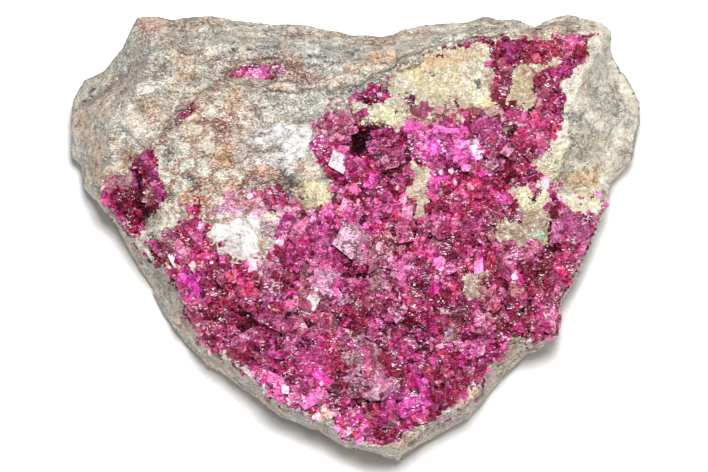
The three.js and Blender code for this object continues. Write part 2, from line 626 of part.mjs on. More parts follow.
const largeCrystals = LARGE_CRYSTALS.map(({ at, ...shape }) => ({
  ...shape,
  centre: place(at[0], at[1], faceHeight(at[0], at[1]) + DRUSE_RISE + STANDOUT_STAND * shape.edge),
}));
const druseCrystals = [
  ...largeCrystals,
  ...strewnCrystals(MAIN_DRUSE, CREAM_OUTLINES, CRYSTAL_PITCH, CRYSTAL_EDGE, DRUSE_RISE, SEEDS.druse),
];
const druse = crust(MAIN_DRUSE, DRUSE_FLOOR, DRUSE_DEPTH, DRUSE_RISE, druseCrystals, CRUST_JITTER.height);
addPiece("magenta_druse", largestPiece(druse.subtract(creamSeats)), druseFinish);

const pockets = [
  ["left_pocket_druse", LEFT_POCKET],
  ["upper_pocket_druse", UPPER_POCKET],
  ["ledge_seam_druse", LEDGE_POCKET],
];
pockets.forEach(([name, outline], n) => {
  const lining = strewnCrystals(outline, [], POCKET_PITCH, POCKET_EDGE, DRUSE_RISE, SEEDS.pockets + 10 * n);
  addPiece(name, crust(outline, POCKET_FLOOR, DRUSE_DEPTH, DRUSE_RISE, lining), pocketFinish);
});

const beds = PLATES.map(({ outline, rise }) =>
  solidOf(slabBody(rise)).intersect(solidOf(prismOver(outline, PLATE_FLOOR))),
);
const groove = solidOf(prismOver(SEAM, 0)).subtract(solidOf(bodyBelow(BED_RINGS, -SEAM_DEPTH)));
let rock = wasm.Manifold.union([solidOf(slabBody(0)), ...beds]).subtract(groove).subtract(creamSeats);
rock = rock.subtract(seatFor(MAIN_DRUSE, DRUSE_FLOOR, DRUSE_DEPTH));
for (const [, outline] of pockets) rock = rock.subtract(seatFor(outline, POCKET_FLOOR, DRUSE_DEPTH));
addPiece("matrix_rock", largestPiece(rock), rockFinish);

export default group;
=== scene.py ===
"""A hand specimen of cobaltoan dolomite on a white table: the close-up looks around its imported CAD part.

The specimen is a broken slab of grey dolomite rock that lies on its flat back. Its face carries a druse of
magenta crystals, three small crystal-lined pockets and crusts of cream calcite. Lengths here are in
millimetres unless a name says otherwise, and become metres where a mesh is made. The face is described on a
sheet that leans towards the viewer: u runs to the right, v runs up the sheet, and z is the height above the
table.
"""

import logging
import math
from dataclasses import astuple, dataclass
from enum import Enum

import bpy
import numpy as np
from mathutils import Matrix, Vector


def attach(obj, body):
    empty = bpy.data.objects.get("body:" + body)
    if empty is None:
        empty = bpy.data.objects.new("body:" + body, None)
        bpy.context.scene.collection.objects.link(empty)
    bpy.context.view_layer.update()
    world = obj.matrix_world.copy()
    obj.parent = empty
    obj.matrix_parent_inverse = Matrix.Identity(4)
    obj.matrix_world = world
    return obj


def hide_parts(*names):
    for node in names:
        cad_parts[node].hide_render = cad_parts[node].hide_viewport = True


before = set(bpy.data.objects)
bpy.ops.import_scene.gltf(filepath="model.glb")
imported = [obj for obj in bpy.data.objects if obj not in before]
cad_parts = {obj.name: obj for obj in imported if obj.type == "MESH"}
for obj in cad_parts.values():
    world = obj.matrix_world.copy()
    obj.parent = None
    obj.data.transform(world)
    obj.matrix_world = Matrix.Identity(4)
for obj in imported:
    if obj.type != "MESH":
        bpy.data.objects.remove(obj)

log = logging.getLogger("specimen")
Array = np.ndarray

MM = 0.001
REACH = np.array([[-51.9, -40.2, 0], [51.9, 40.2, 32.8]])  # lowest and highest corner of what is shown
FACE_LEAN = math.radians(12)
FACE_LEVEL = 27.0
PLAN_CENTRE = (-0.1, -4.31)
SHEET_NORMAL = np.array([0, -math.sin(FACE_LEAN), math.cos(FACE_LEAN)])
RHOMB_ANGLE = math.radians(102)  # angle between a cleavage rhomb's edges
# How far crusts stand above the rock, and their single crystals' middles above that, in edges.
DRUSE_RISE, CREAM_RISE = 0.6, 1.1
STANDOUT_LIFT = 0.26
DRUSE_FRAY = CREAM_FRAY = 0.9
# The sides: shares of the edge's height, how far in they lie there, and least and most inset of the back.
SIDE_SHARES = (0.03, 0.12, 0.6, 1.0)
SIDE_INSETS = (3.2, 3.0, 0.6, 0.0)
FLAT_BACK_INSET = (3.8, 7.0)
# The hash: a factor for each axis; steps by seed and by number, and a start; shifts and factors that mix.
HASH_AXES = np.array([73856093, 19349663, 83492791], np.uint32)
HASH_STEPS = (747796405, 277803737, 12345)
HASH_MIXERS = ((16, 2246822519), (13, 3266489917))
# Noise: the shift from one octave to the next, the gain, and where in its cube a cell's seed may lie.
OCTAVE_SHIFT, CLOUD_GAIN = 17.3, 1.6
SEED_FROM, SEED_SPAN = 0.1, 0.8
# Relief: how far chips differ in slope and in level, and how much painted shade darkens low places and
# painted highlight lightens ridges, with its limits.
CHIP_SLOPE, CHIP_LEVEL = 1.5, 0.5
PAINTED_SHADE_DEPTH, PAINTED_SHADE_LIMITS = 0.9, (0.5, 1.5)
FRAY_SIZE, FRAY_SEED = 2.6, 64
# A stain is whole up to its oval and gone this far outside, in half-widths.
STAIN_END, STAIN_FADE = 1.15, 0.3

# The slab's edge as the viewer sees it: u, v, height above the table, width of the sloping border.
EDGE = (
    (-39.8, 39.6, 21, 6.5), (-38.7, 40.0, 22, 6.5), (-36.0, 39.7, 22, 7), (-33.5, 39.1, 21, 7),
    (-29.3, 39.6, 22, 6.5), (-26.2, 39.9, 22, 6.5), (-22.2, 39.0, 21, 6.5), (-15.6, 38.2, 20, 6),
    (-10.2, 38.2, 20, 6), (-6.9, 37.6, 20, 6), (-1.1, 36.4, 20, 5.5), (4.7, 36.1, 20, 5),
    (7.1, 36.8, 21, 4.5), (13.5, 38.2, 22, 4.5), (19.8, 38.5, 22, 4), (23.6, 39.8, 22, 4.5),
    (25.8, 39.2, 22, 4), (28.4, 39.3, 22, 3.5), (32.4, 38.0, 22, 3), (35.6, 39.2, 23, 4),
    (38.9, 40.3, 23, 4.5), (40.4, 39.5, 23, 4), (44.2, 38.6, 22, 3.5), (46.4, 37.1, 21, 3),
    (46.3, 33.6, 17, 5), (47.1, 31.6, 15, 8), (48.7, 29.5, 14, 11), (50.5, 26.7, 13, 13.5),
    (52.2, 23.3, 12, 15), (52.0, 21.3, 12, 15), (51.1, 18.4, 12, 15.5), (50.2, 13.6, 13, 15.5),
    (46.9, 10.9, 15, 12), (46.0, 7.8, 18, 6), (45.5, 5.1, 19, 2), (44.4, 2.9, 20, 1.4),
    (42.0, -3.1, 20, 1.3), (38.9, -9.3, 19, 1.3), (37.3, -11.8, 17, 1.8), (37.5, -15.5, 15, 2),
    (36.9, -17.6, 14, 2), (33.1, -20.9, 10, 2.8), (30.7, -21.8, 8, 3.4), (26.7, -25.5, 6, 3.2),
    (24.9, -27.8, 5, 3), (20.5, -33.3, 5, 3), (17.5, -34.9, 5, 3), (13.1, -37.3, 5, 3.2),
    (9.5, -39.5, 6, 2.6), (7.8, -40.4, 6, 2), (5.3, -40.1, 7, 1.6), (1.6, -39.2, 7, 1.4),
    (-4.2, -37.1, 5, 2.2), (-6.9, -35.5, 5, 2.2), (-13.1, -33.3, 4.5, 2.4), (-18.4, -29.5, 4.5, 2.4),
    (-23.6, -25.6, 4.5, 3), (-28.9, -21.8, 4.5, 3.8), (-32.7, -17.5, 4.5, 4.2), (-34.7, -14.9, 4, 4.8),
    (-37.3, -9.1, 4, 5.2), (-40.4, -4.2, 5, 3.2), (-43.8, 2.0, 7, 1.6), (-46.9, 6.0, 9, 1.4),
    (-49.6, 9.3, 10, 3), (-50.2, 12.9, 10, 5), (-51.8, 14.5, 10, 7), (-52.2, 17.3, 10, 8),
    (-51.6, 24.7, 11, 8), (-49.6, 28.2, 12, 8), (-45.8, 30.0, 14, 7), (-42.4, 34.2, 17, 6),
    (-40.4, 38.5, 20, 6),
)  # fmt: skip

# Flat breaks of the hidden sides: direction in the plan, distance at table level, outward lean in degrees.
BREAKS = (
    (178, 48, 14), (140, 46.5, 10), (112, 36.5, 9), (84, 35, 11), (52, 50, 10), (8, 47.5, 16), (335, 43, 9),
    (316, 34.5, 8),
)  # fmt: skip

# Outlines of what grew on the rock, clockwise on the sheet.
MAIN_DRUSE = (
    (-8.4, 20.5), (-2, 23.5), (-0.7, 25.5), (2.9, 27.6), (16.2, 34.2), (26.7, 36), (34.4, 35.6), (42.9, 37.1),
    (44.2, 36.2), (37.6, 27.3), (37.5, 20.9), (34.7, 16.7), (35.1, 15.5), (32.5, 12.5), (38.2, 5.6),
    (39.8, 7.3), (42.5, 8), (45.2, 6.2), (44.3, 2.8), (41.9, -3.2), (38.8, -9.3), (36.6, -12.4),
    (37.4, -15.5), (36.8, -17.7), (34.4, -19.6), (29.6, -18.5), (23.8, -23.8), (20.4, -29.5), (5.1, -38.2),
    (-2, -37), (-4.5, -33.6),
    (-8, -33.4), (-12.5, -30.7), (-26.2, -20.4), (-31.3, -14.5), (-31.5, -11.8), (-34.4, -6.7), (-38.4, -2.5),
    (-32.4, 1.5), (-29.3, 5.1), (-27.8, 3.8), (-25.1, -2.5), (-21.1, -4.9), (-16.9, -3.8), (-13.3, -0.9),
    (-14.4, 3.5), (-17.5, 6.9), (-16, 8.2), (-7.9, 4.7), (-5.1, 5.6), (-4.4, 7.5), (-4.5, 10), (-6.9, 13.1),
    (-7.1, 16.2), (-9.3, 19.1),
)  # fmt: skip
LEFT_POCKET = (
    (-47, 6.9), (-42.5, 10.2), (-38, 15.5), (-36.9, 14.5), (-34.2, 8.9), (-34.2, 7.3), (-37.6, 3.3),
    (-37.6, 0.9), (-39.1, -1.4), (-40.9, -0.9), (-44.5, 3.8),
)  # fmt: skip
UPPER_POCKET = (
    (-24.4, 28.2), (-22.5, 30.2), (-20.2, 31.5), (-17.1, 31.5), (-14.9, 32.4), (-12.7, 31.8), (-12, 29.6),
    (-12.9, 27.8), (-14.9, 26.7), (-20, 28.2), (-22.2, 27.8),
)  # fmt: skip
LEDGE_SEAM = (
    (-35.4, 20.4), (-33.5, 22.6), (-31.1, 23.7), (-29.3, 25.1), (-28.2, 24.5), (-30, 22.2), (-32, 20.7),
    (-33.8, 20),
)  # fmt: skip
CREAM_UPPER = (
    (-0.5, 23), (1.2, 24.2), (4.4, 24.2), (5.8, 25.2), (5.2, 27.5), (9.8, 31.5), (12.5, 32.7), (18, 34.2),
    (22.5, 34.7), (24.4, 34), (25.1, 31.8), (24.5, 29.1), (26, 24), (24.9, 22.7), (18, 22.2), (12.5, 22.9),
    (7.1, 18.8), (5.6, 20.4), (1.5, 20.2),
)  # fmt: skip
CREAM_RIDGE = (
    (27.6, 29.6), (29.8, 30.7), (32.5, 30.9), (36.2, 32.5), (37.4, 31.8), (33.6, 28.9), (32.3, 26.6),
    (33.2, 25.1), (29.5, 21.1), (27.5, 24.5),
)  # fmt: skip
CREAM_RIGHT = (
    (28.9, 8.5), (32.5, 9.8), (34.4, 8.9), (35.1, 7.3), (34.4, 5.5), (35.1, 3.6), (34.5, -2.5), (32.5, -2.9),
    (26.2, -1.5), (25.1, 0), (25.6, 1.6), (29.3, 5.1), (28.5, 6.7),
)  # fmt: skip
CREAM_EDGE = ((38.2, 5.4), (38.2, 7.8), (42.9, 8.3), (44.4, 6.9), (44.5, 4.9), (43.6, 3.5), (41.8, 3.8))
CREAM_LOW = (
    (19.3, -7.3), (20.7, -6), (22.5, -6), (23.8, -7.6), (23.6, -9.6), (21.1, -12.7), (19.6, -12.2),
    (18.9, -10),
)  # fmt: skip
CREAM_MID = (
    (10.2, 12.5), (12.4, 12.2), (14.5, 10.5), (13.3, 8.9), (12.5, 3.6), (10.9, 3.1), (9.8, 5.5), (8.7, 10.5),
)  # fmt: skip
DRUSES = (MAIN_DRUSE, LEFT_POCKET, UPPER_POCKET, LEDGE_SEAM)
CREAM_PATCHES = (CREAM_UPPER, CREAM_RIDGE, CREAM_RIGHT, CREAM_EDGE, CREAM_LOW, CREAM_MID)


def linear(colour: str) -> Array:
    """Turns an sRGB hex colour into linear red, green and blue.

    Args:
        colour: six hex digits after a hash.

    Returns:
        Three numbers from 0 to 1.
    """
    channels = np.array([int(colour[i : i + 2], 16) for i in (1, 3, 5)]) / 255
    return np.where(channels <= 0.04045, channels / 12.92, ((channels + 0.055) / 1.055) ** 2.4)


def rgba(colour: str) -> tuple[float, ...]:
    """The hex colour as four linear numbers, for a shader's socket."""
    return (*linear(colour), 1)


def blended(colours: Array, colour: str, share: Array) -> Array:
    """Linear colours blended to a hex colour by one share for each."""
    return colours + share[:, None] * (linear(colour) - colours)


def step(value: Array) -> Array:
    """Smooth step: 0 below 0, 1 above 1, and t²(3 − 2t) between."""
    t = np.clip(value, 0, 1)
    return t * t * (3 - 2 * t)


def chance(i: Array, j: Array, k: float) -> Array:
    """A number from 0 to 1 for each pair of whole numbers and a seed, the same every time.

    Formula: the fraction of sin(127.1 i + 311.7 j + 74.7 k + 0.5) · 43758.5453, as in the CAD part.
    """
    wave = np.sin(i * 127.1 + j * 311.7 + k * 74.7 + 0.5) * 43758.5453
    return wave - np.floor(wave)


def unevenness(x: Array, y: Array, seed: float) -> Array:
    """Smooth lumps from −0.5 to 0.5 about one unit wide: chance at whole numbers, blended between them."""
    i, j = np.floor(x), np.floor(y)
    a, b = step(x - i), step(y - j)
    low = chance(i, j, seed) * (1 - a) + chance(i + 1, j, seed) * a
    high = chance(i, j + 1, seed) * (1 - a) + chance(i + 1, j + 1, seed) * a
    return low * (1 - b) + high * b - 0.5


def hashed(cell: Array, seed: int) -> Array:
    """Three numbers from 0 to 1 for each whole-number cell of space, from mixed 32-bit products.

    Args:
        cell: whole numbers, shape (..., 3).
        seed: picks another set of numbers.

    Returns:
        Shape (..., 3).
    """
    mixed = np.bitwise_xor.reduce(cell.astype(np.int64).astype(np.uint32) * HASH_AXES, -1)
    for_seed, for_number, first = HASH_STEPS
    out = []
    for n in range(3):
        bits = mixed + np.uint32((seed * for_seed + n * for_number + first) % 2**32)
        for shift, factor in HASH_MIXERS:
            bits = (bits ^ (bits >> np.uint32(shift))) * np.uint32(factor)
        out.append((bits ^ (bits >> np.uint32(16))).astype(np.float64) / 2**32)
    return np.stack(out, -1)


def on_sheet(u: Array, v: Array) -> Array:
    """Places of the sheet as points that noise can be read at."""
    return np.stack((u, v, 0 * u), -1)


def cloud(points: Array, size: float, seed: int, octaves: int = 3) -> Array:
    """Fractal value noise from about −1 to 1: lumps of one size, and finer ones of half the strength each.

    Args:
        points: places in mm, shape (..., 3).
        size: width of the widest lumps.
        seed: picks another pattern.
        octaves: how many sizes are added.

    Returns:
        One number for each point.
    """
    total, weight, strength = 0.0, 0.0, 1.0
    for octave in range(octaves):
        p = points / size * 2**octave + OCTAVE_SHIFT * octave
        base = np.floor(p)
        t = step(p - base)
        value = 0.0
        for corner in np.ndindex(2, 2, 2):
            share = np.prod(np.where(corner, t, 1 - t), axis=-1)
            value = value + share * hashed(base + corner, seed + octave)[..., 0]
        total = total + strength * (2 * value - 1)
        weight += strength
        strength *= 0.5
    return CLOUD_GAIN * total / weight


@dataclass
class Cells:
    """The nearest of many scattered seeds to each point: the grain, crystal or chip that it belongs to."""

    chances: Array
    offset: Array
    border: Array


def cells(points: Array, size: float, seed: int) -> Cells:
    """Sorts points into irregular cells of space about one size wide.

    Formula: each cube of the grid holds one seed at a random place, and a point belongs to the nearest seed.

    Args:
        points: places in mm, shape (N, 3).
        size: width of the cells.
        seed: picks another set.

    Returns:
        Three random numbers of each point's cell, and in mm the way from its seed and the distance to its
        border.
    """
    p = points / size
    base = np.floor(p)
    best = np.full(p.shape[:-1], np.inf)
    second = np.full(p.shape[:-1], np.inf)
    offset = np.zeros_like(p)
    owner = np.zeros_like(p)
    for move in np.ndindex(3, 3, 3):
        cube = base + move - 1
        way = p - cube - (SEED_FROM + SEED_SPAN * hashed(cube, seed))
        gap = np.sqrt((way**2).sum(-1))
        nearer = gap < best
        second = np.where(nearer, best, np.minimum(second, gap))
        best = np.where(nearer, gap, best)
        offset = np.where(nearer[..., None], way, offset)
        owner = np.where(nearer[..., None], cube, owner)
    return Cells(hashed(owner, seed + 101), offset * size, (second - best) * size / 2)


def chips(points: Array, size: float, seed: int) -> Array:
    """Relief of broken stone from about −0.5 to 0.5: each cell is a flat chip of its own slope and level."""
    found = cells(points, size, seed)
    slope = (found.chances - 0.5) * CHIP_SLOPE
    return (slope * found.offset / size).sum(-1) + CHIP_LEVEL * (found.chances[..., 0] - 0.5)


def painted_hollow_shade(heights: Array, reach: int) -> Array:
    """Painted shade and highlight of a relief: lightness under 1 in its low places and over 1 on its ridges.

    Formula: exp(0.9 · (height − mean height within reach)), from 0.5 to 1.5.

    Args:
        heights: relief in mm on a grid, shape (N, M).
        reach: how many grid points away the mean looks.

    Returns:
        One factor for each grid point.
    """
    mean = heights
    for axis in (0, 1):
        padded = np.pad(mean, [(reach, reach) if axis == a else (0, 0) for a in (0, 1)], mode="edge")
        parts = [np.take(padded, range(k, k + heights.shape[axis]), axis) for k in range(2 * reach + 1)]
        mean = sum(parts) / len(parts)
    return np.clip(np.exp(PAINTED_SHADE_DEPTH * (heights - mean)), *PAINTED_SHADE_LIMITS)


def depth_in(outline: Array, u: Array, v: Array) -> Array:
    """Measures how deep points lie inside a closed outline.

    Args:
        outline: corners, shape (M, 2).
        u, v: the points, any shape.

    Returns:
        The depth in mm, negative outside.
    """
    start = np.asarray(outline, float)
    run = np.roll(start, -1, 0) - start
    du, dv = u[..., None] - start[:, 0], v[..., None] - start[:, 1]
    along = np.clip((du * run[:, 0] + dv * run[:, 1]) / (run**2).sum(1), 0, 1)
    gap = np.hypot(du - along * run[:, 0], dv - along * run[:, 1]).min(-1)
    crosses = (start[:, 1] > v[..., None]) != (start[:, 1] + run[:, 1] > v[..., None])
    rise = np.where(run[:, 1] == 0, 1, run[:, 1])
    left = u[..., None] < start[:, 0] + run[:, 0] * dv / rise
    return np.where((crosses & left).sum(-1) % 2 == 1, gap, -gap)


def grown(outline: Array, distance: float) -> Array:
    """The clockwise outline moved outwards with mitred corners, as in the CAD part."""
    here = np.asarray(outline, float)
    back, on = here - np.roll(here, 1, 0), np.roll(here, -1, 0) - here
    normals = [np.stack((-d[:, 1], d[:, 0]), -1) / np.hypot(*d.T)[:, None] for d in (back, on)]
    mitre = normals[0] + normals[1]
    mitre /= np.hypot(*mitre.T)[:, None]
    return here + mitre * (distance / np.maximum(0.5, (mitre * normals[0]).sum(1)))[:, None]


def fray(u: Array, v: Array, width: float) -> Array:
    """How far a crust's edge wanders from its outline, in mm: noise that its neighbours share."""
    return width * cloud(on_sheet(u, v), FRAY_SIZE, FRAY_SEED)


@dataclass(frozen=True)
class Oval:
    """An oval on the sheet: a swelling, a hollow or a stain fades out from it.

    Args:
        u, v: its middle.
        along, across: its half-widths.
        turn: turn of its length from the u axis, in degrees.
    """

    u: float
    v: float
    along: float
    across: float
    turn: float = 0

    def reach(self, u: Array, v: Array) -> Array:
        """Distance from the middle in half-widths: 1 on the oval."""
        c, s = math.cos(math.radians(self.turn)), math.sin(math.radians(self.turn))
        du, dv = u - self.u, v - self.v
        return np.hypot((du * c + dv * s) / self.along, (dv * c - du * s) / self.across)


@dataclass(frozen=True)
class Swelling:
    """A rise or hollow of the face: rise · exp(−reach²)."""

    rise: float
    oval: Oval

    def height(self, u: Array, v: Array) -> Array:
        """How much it adds to the face at points of the sheet."""
        return self.rise * np.exp(-self.oval.reach(u, v) ** 2)


def swellings(*rows: tuple) -> tuple[Swelling, ...]:
    """Swellings from rows of rise, middle, half-widths and, where it isn't 0, turn."""
    return tuple(Swelling(rise, Oval(*oval)) for rise, *oval in rows)


@dataclass(frozen=True)
class Plate:
    """A bed of rock that stands above the face with a sharp edge."""

    outline: tuple[tuple[float, float], ...]
    rise: float


@dataclass(frozen=True)
class Lump:
    """Unevenness of the whole face: the width and height of its lumps."""

    size: float
    height: float


# A note at a line's end is about the last row of its line, here and in the tables of stains.
SWELLINGS = swellings(
    (-7, -0.2, 17.6, 2.6, 3),  # main vug
    (-4, 2.9, 19, 2.2, 1.6, 20), (2.4, 16, 17.2, 10, 4.6, -12),  # pink spray
    (-1.8, 18, 11.5, 10, 2.2, -8), (-5, 28.5, 17.8, 1.8, 3.2, -20),  # right hole
    (1.6, 33, 19, 4.6, 6.5),  # red lobe
    (-3.2, 23.4, -2, 1.2, 3, 10), (-3.4, -12.8, -15.2, 1.5, 3.4, -15),  # left crevice
    (-2.6, 31.6, -13.3, 1.7, 1.7), (2.2, 14, 28, 12, 5, 22),  # cream hump
    (2.2, 3.2, 21.8, 4, 2, 10), (-2.4, 2.8, 25, 2.2, 1.4, 20), (-1.4, 30.5, 26.5, 3.2, 5, -10),
    (1.6, 32.2, 7, 3.6, 3.2),  # right knob
    (1.5, 21.5, -9, 2.6, 3.8, 20), (1.8, -1, -1, 6, 6),  # the big rhomb's seat
    (-1.6, -21, -13.5, 8, 5, -20), (-1.6, -24, -7, 6, 2, -15), (1.9, -20.5, 0.2, 5.6, 4.4, -15),  # white boss
    (1.7, -13, 15.5, 8, 6, 25),  # white cleavage face
    (1.2, -24, 15, 5, 7), (-8, -40.9, 4.6, 4.6, 6, 18),  # left pocket
    (-3.5, -38.8, 9.6, 1.8, 3.6, 10), (2.5, -37, 7.6, 2, 2), (-2.6, -17.6, 29.6, 5.2, 2, 6),  # upper pocket
    (-1.6, -8, 28.8, 5, 2.4, -8), (-2, 4, -33, 9, 8),  # lower tip
    (-1.2, 33, -6, 7, 12, -20), (2.2, 44, 22, 5, 7),  # shoulder of the right rock
)  # fmt: skip
LUMPS = (Lump(9, 1.5), Lump(4, 0.9))
PLATES = (
    Plate(
        ((-38.2, 15.2), (-42.5, 20), (-41.5, 27), (-37, 33.5), (-30, 36), (-22, 35.6), (-12, 34.8),
         (-2, 33.2), (7, 34.4), (17, 36.6), (26, 37.6), (34, 38), (33.5, 37.2), (26.2, 36.2), (17.1, 34.8),
         (8, 31.9), (0.7, 27.6), (-2.9, 26.6), (-12, 26.2), (-22.9, 27.2), (-28.4, 25.4), (-33, 20.6)),
        1.7,
    ),
    Plate(((-4, 31.6), (5, 33), (14, 36.4), (24, 38), (24, 37.2), (15, 35), (7, 31.9), (-2, 30)), 1.1),
    Plate(
        ((-40, 28.5), (-36.5, 34.2), (-29.5, 36.4), (-27, 35.5), (-28.5, 33), (-33, 31.8), (-36, 28.4)), 1.0,
    ),
    Plate(((-21, 11.8), (-18.6, 18), (-13, 21.6), (-6.8, 20.2), (-8.2, 14.4), (-12, 9.8), (-17, 9.4)), 0.9),
)  # fmt: skip
# Deep holes of the druse, where no crystal grows across, and the smooth cleavage face of the white calcite.
HOLES = (Oval(0.4, 16.4, 2.0, 1.8), Oval(28.5, 17.3, 1.3, 1.2), Oval(-12.8, -15.4, 1.0, 2.1, -15))
WHITE_FACE = Oval(-13.5, 15.8, 6.5, 4.2, 8)
GROOVE = Plate(((-50.5, 23.8), (-44, 28.6), (-37.4, 33.2), (-37, 32.5), (-43.6, 27.6), (-50.2, 22.6)), -1.6)


class SlabForm:
    """The form that every piece follows: the slab's edge, and the height of its face."""

    def __init__(self) -> None:
        u, v, height, border = np.array(EDGE, float).T
        self.angle = np.arctan2(v, u)
        order = self.angle.argsort()
        self.angle = self.angle[order]
        self.rim = np.stack((np.hypot(u, v), height, border))[:, order]

    def edge_at(self, angle: Array) -> tuple[Array, Array, Array]:
        """The edge in a direction from the sheet's middle: distance, height and width of the border."""
        return tuple(np.interp(angle, self.angle, row, period=2 * np.pi) for row in self.rim)

    def face_height(self, u: Array, v: Array) -> Array:
        """Height of the slab's face, as in the CAD part.

        Formula: level + swellings + lumps inside, blended to the edge's height across the border.
        """
        inner = FACE_LEVEL + sum(swelling.height(u, v) for swelling in SWELLINGS)
        for n, lump in enumerate(LUMPS):
            inner = inner + lump.height * unevenness(u / lump.size, v / lump.size, 90 + n)
        radius, height, border = self.edge_at(np.arctan2(v, u))
        return height + (inner - height) * np.clip((radius - np.hypot(u, v)) / border, 0, 1)

    def edge_room(self, u: Array, v: Array) -> Array:
        """Distance from points of the sheet to the slab's edge, measured along the ray from the middle."""
        return self.edge_at(np.arctan2(v, u))[0] - np.hypot(u, v)

    @staticmethod
    def place(u: Array, v: Array, z: Array) -> Array:
        """From the sheet to the table, in mm: a place seen at u, v that lies at height z."""
        x = u - PLAN_CENTRE[0]
        y = (v - z * math.sin(FACE_LEAN)) / math.cos(FACE_LEAN) - PLAN_CENTRE[1]
        return np.stack(np.broadcast_arrays(x, y, z), -1)


def unit(vectors: Array) -> Array:
    """The vectors at length 1."""
    return vectors / np.maximum(np.linalg.norm(vectors, axis=-1, keepdims=True), 1e-12)


def squares(number: Array) -> Array:
    """The four corners of each square of a grid, in order round it, as the last axis."""
    return np.stack((number[:-1, :-1], number[1:, :-1], number[1:, 1:], number[:-1, 1:]), -1)


def shown(name: str, data: bpy.types.ID) -> bpy.types.Object:
    """An object with the data, linked to the scene."""
    made = bpy.data.objects.new(name, data)
    bpy.context.scene.collection.objects.link(made)
    return made


def new_mesh(
    name: str, points: Array, faces: list[Array], tint: Array, smooth: bool = False
) -> bpy.types.Object:
    """Makes one object at the origin from whole arrays.

    Args:
        name: the piece's name.
        points: vertices in mm, shape (N, 3).
        faces: arrays of corner numbers, one array for each number of corners.
        tint: linear colour of each vertex, shape (N, 3).
        smooth: whether faces are shaded smooth.

    Returns:
        The object, linked to the scene.
    """
    points = np.clip(points, *REACH)
    mesh = bpy.data.meshes.new(name)
    mesh.vertices.add(len(points))
    mesh.vertices.foreach_set("co", (points * MM).astype(np.float32).ravel())
    corners = np.concatenate([face.ravel() for face in faces]).astype(np.int32)
    sizes = np.concatenate([np.full(len(face), face.shape[1]) for face in faces])
    mesh.loops.add(len(corners))
    mesh.loops.foreach_set("vertex_index", corners)
    mesh.polygons.add(len(sizes))
    mesh.polygons.foreach_set("loop_start", np.concatenate(([0], np.cumsum(sizes)[:-1])).astype(np.int32))
    mesh.polygons.foreach_set("use_smooth", np.full(len(sizes), smooth))
    mesh.update(calc_edges=True)
    layer = mesh.attributes.new("tint", "FLOAT_COLOR", "POINT")
    opaque = np.concatenate((tint, np.ones((len(tint), 1))), 1)
    layer.data.foreach_set("color", opaque.astype(np.float32).ravel())
    log.info("%s: %d vertices, %d faces", name, len(points), len(sizes))
    return shown(name, mesh)


class Nodes:
    """A material's node tree, with one call for each node."""

    def __init__(self, name: str) -> None:
        self.material = bpy.data.materials.new(name)
        self.material.use_nodes = True
        self.tree = self.material.node_tree
        self.tree.nodes.clear()

    def add(self, kind: str, inputs: dict | None = None, **settings) -> bpy.types.Node:
        """Adds a node.

        Args:
            kind: the node's type without ShaderNode.
            inputs: value or output socket for each input, by name or number.
            settings: attributes of the node itself.

        Returns:
            The node.
        """
        node = self.tree.nodes.new("ShaderNode" + kind)
        for key, value in settings.items():
            setattr(node, key, value)
        for key, value in (inputs or {}).items():
            if isinstance(value, bpy.types.NodeSocket):
                self.tree.links.new(value, node.inputs[key])
            else:
                node.inputs[key].default_value = value
        return node

    def blend(self, share, a, b, mode: str = "MIX") -> bpy.types.NodeSocket:
        """Blends two colours by a share, each a socket or four numbers."""
        return self.add("Mix", {0: share, 6: a, 7: b}, data_type="RGBA", blend_type=mode).outputs[2]

    def reckon(self, operation: str, a, b=0.0) -> bpy.types.NodeSocket:
        """A sum on two values, each a socket or a number."""
        return self.add("Math", {0: a, 1: b}, operation=operation).outputs[0]

    def vector(self, operation: str, inputs: dict) -> bpy.types.NodeSocket:
        """A sum on vectors."""
        return self.add("VectorMath", inputs, operation=operation).outputs[0]

    def part(self, colour, channel: str) -> bpy.types.NodeSocket:
        """One channel of a colour: Red, Green or Blue."""
        return self.add("SeparateColor", {"Color": colour}).outputs[channel]

    def spread(self, value, low: float, high: float, to_low: float, to_high: float) -> bpy.types.NodeSocket:
        """Stretches a value from one range to another, held at its ends."""
        inputs = {"Value": value, "From Min": low, "From Max": high, "To Min": to_low, "To Max": to_high}
        return self.add("MapRange", inputs).outputs[0]

    def finish(self, shader: bpy.types.Node) -> bpy.types.Material:
        """Ends the tree in the shader."""
        self.add("OutputMaterial", {"Surface": shader.outputs[0]})
        return self.material


class Lay(Enum):
    """How a patch meets the colour below it: over it, or as a tint of it."""

    OVER = "MIX"
    TINT = "MULTIPLY"


@dataclass(frozen=True)
class Patch:
    """Grains of another colour, where a noise runs high.

    Args:
        colour: hex.
        size: width of the patches in mm.
        level: noise level from which they show; half of the surface lies above 0.5.
        strength: how much of the colour shows, from 0 to 1.
        soft: range of noise over which they fade in.
        long: how far they are drawn out along the bedding.
        lay: how they meet the colour below.
    """

    colour: str
    size: float
    level: float
    strength: float
    soft: float = 0.06
    long: float = 1
    lay: Lay = Lay.OVER


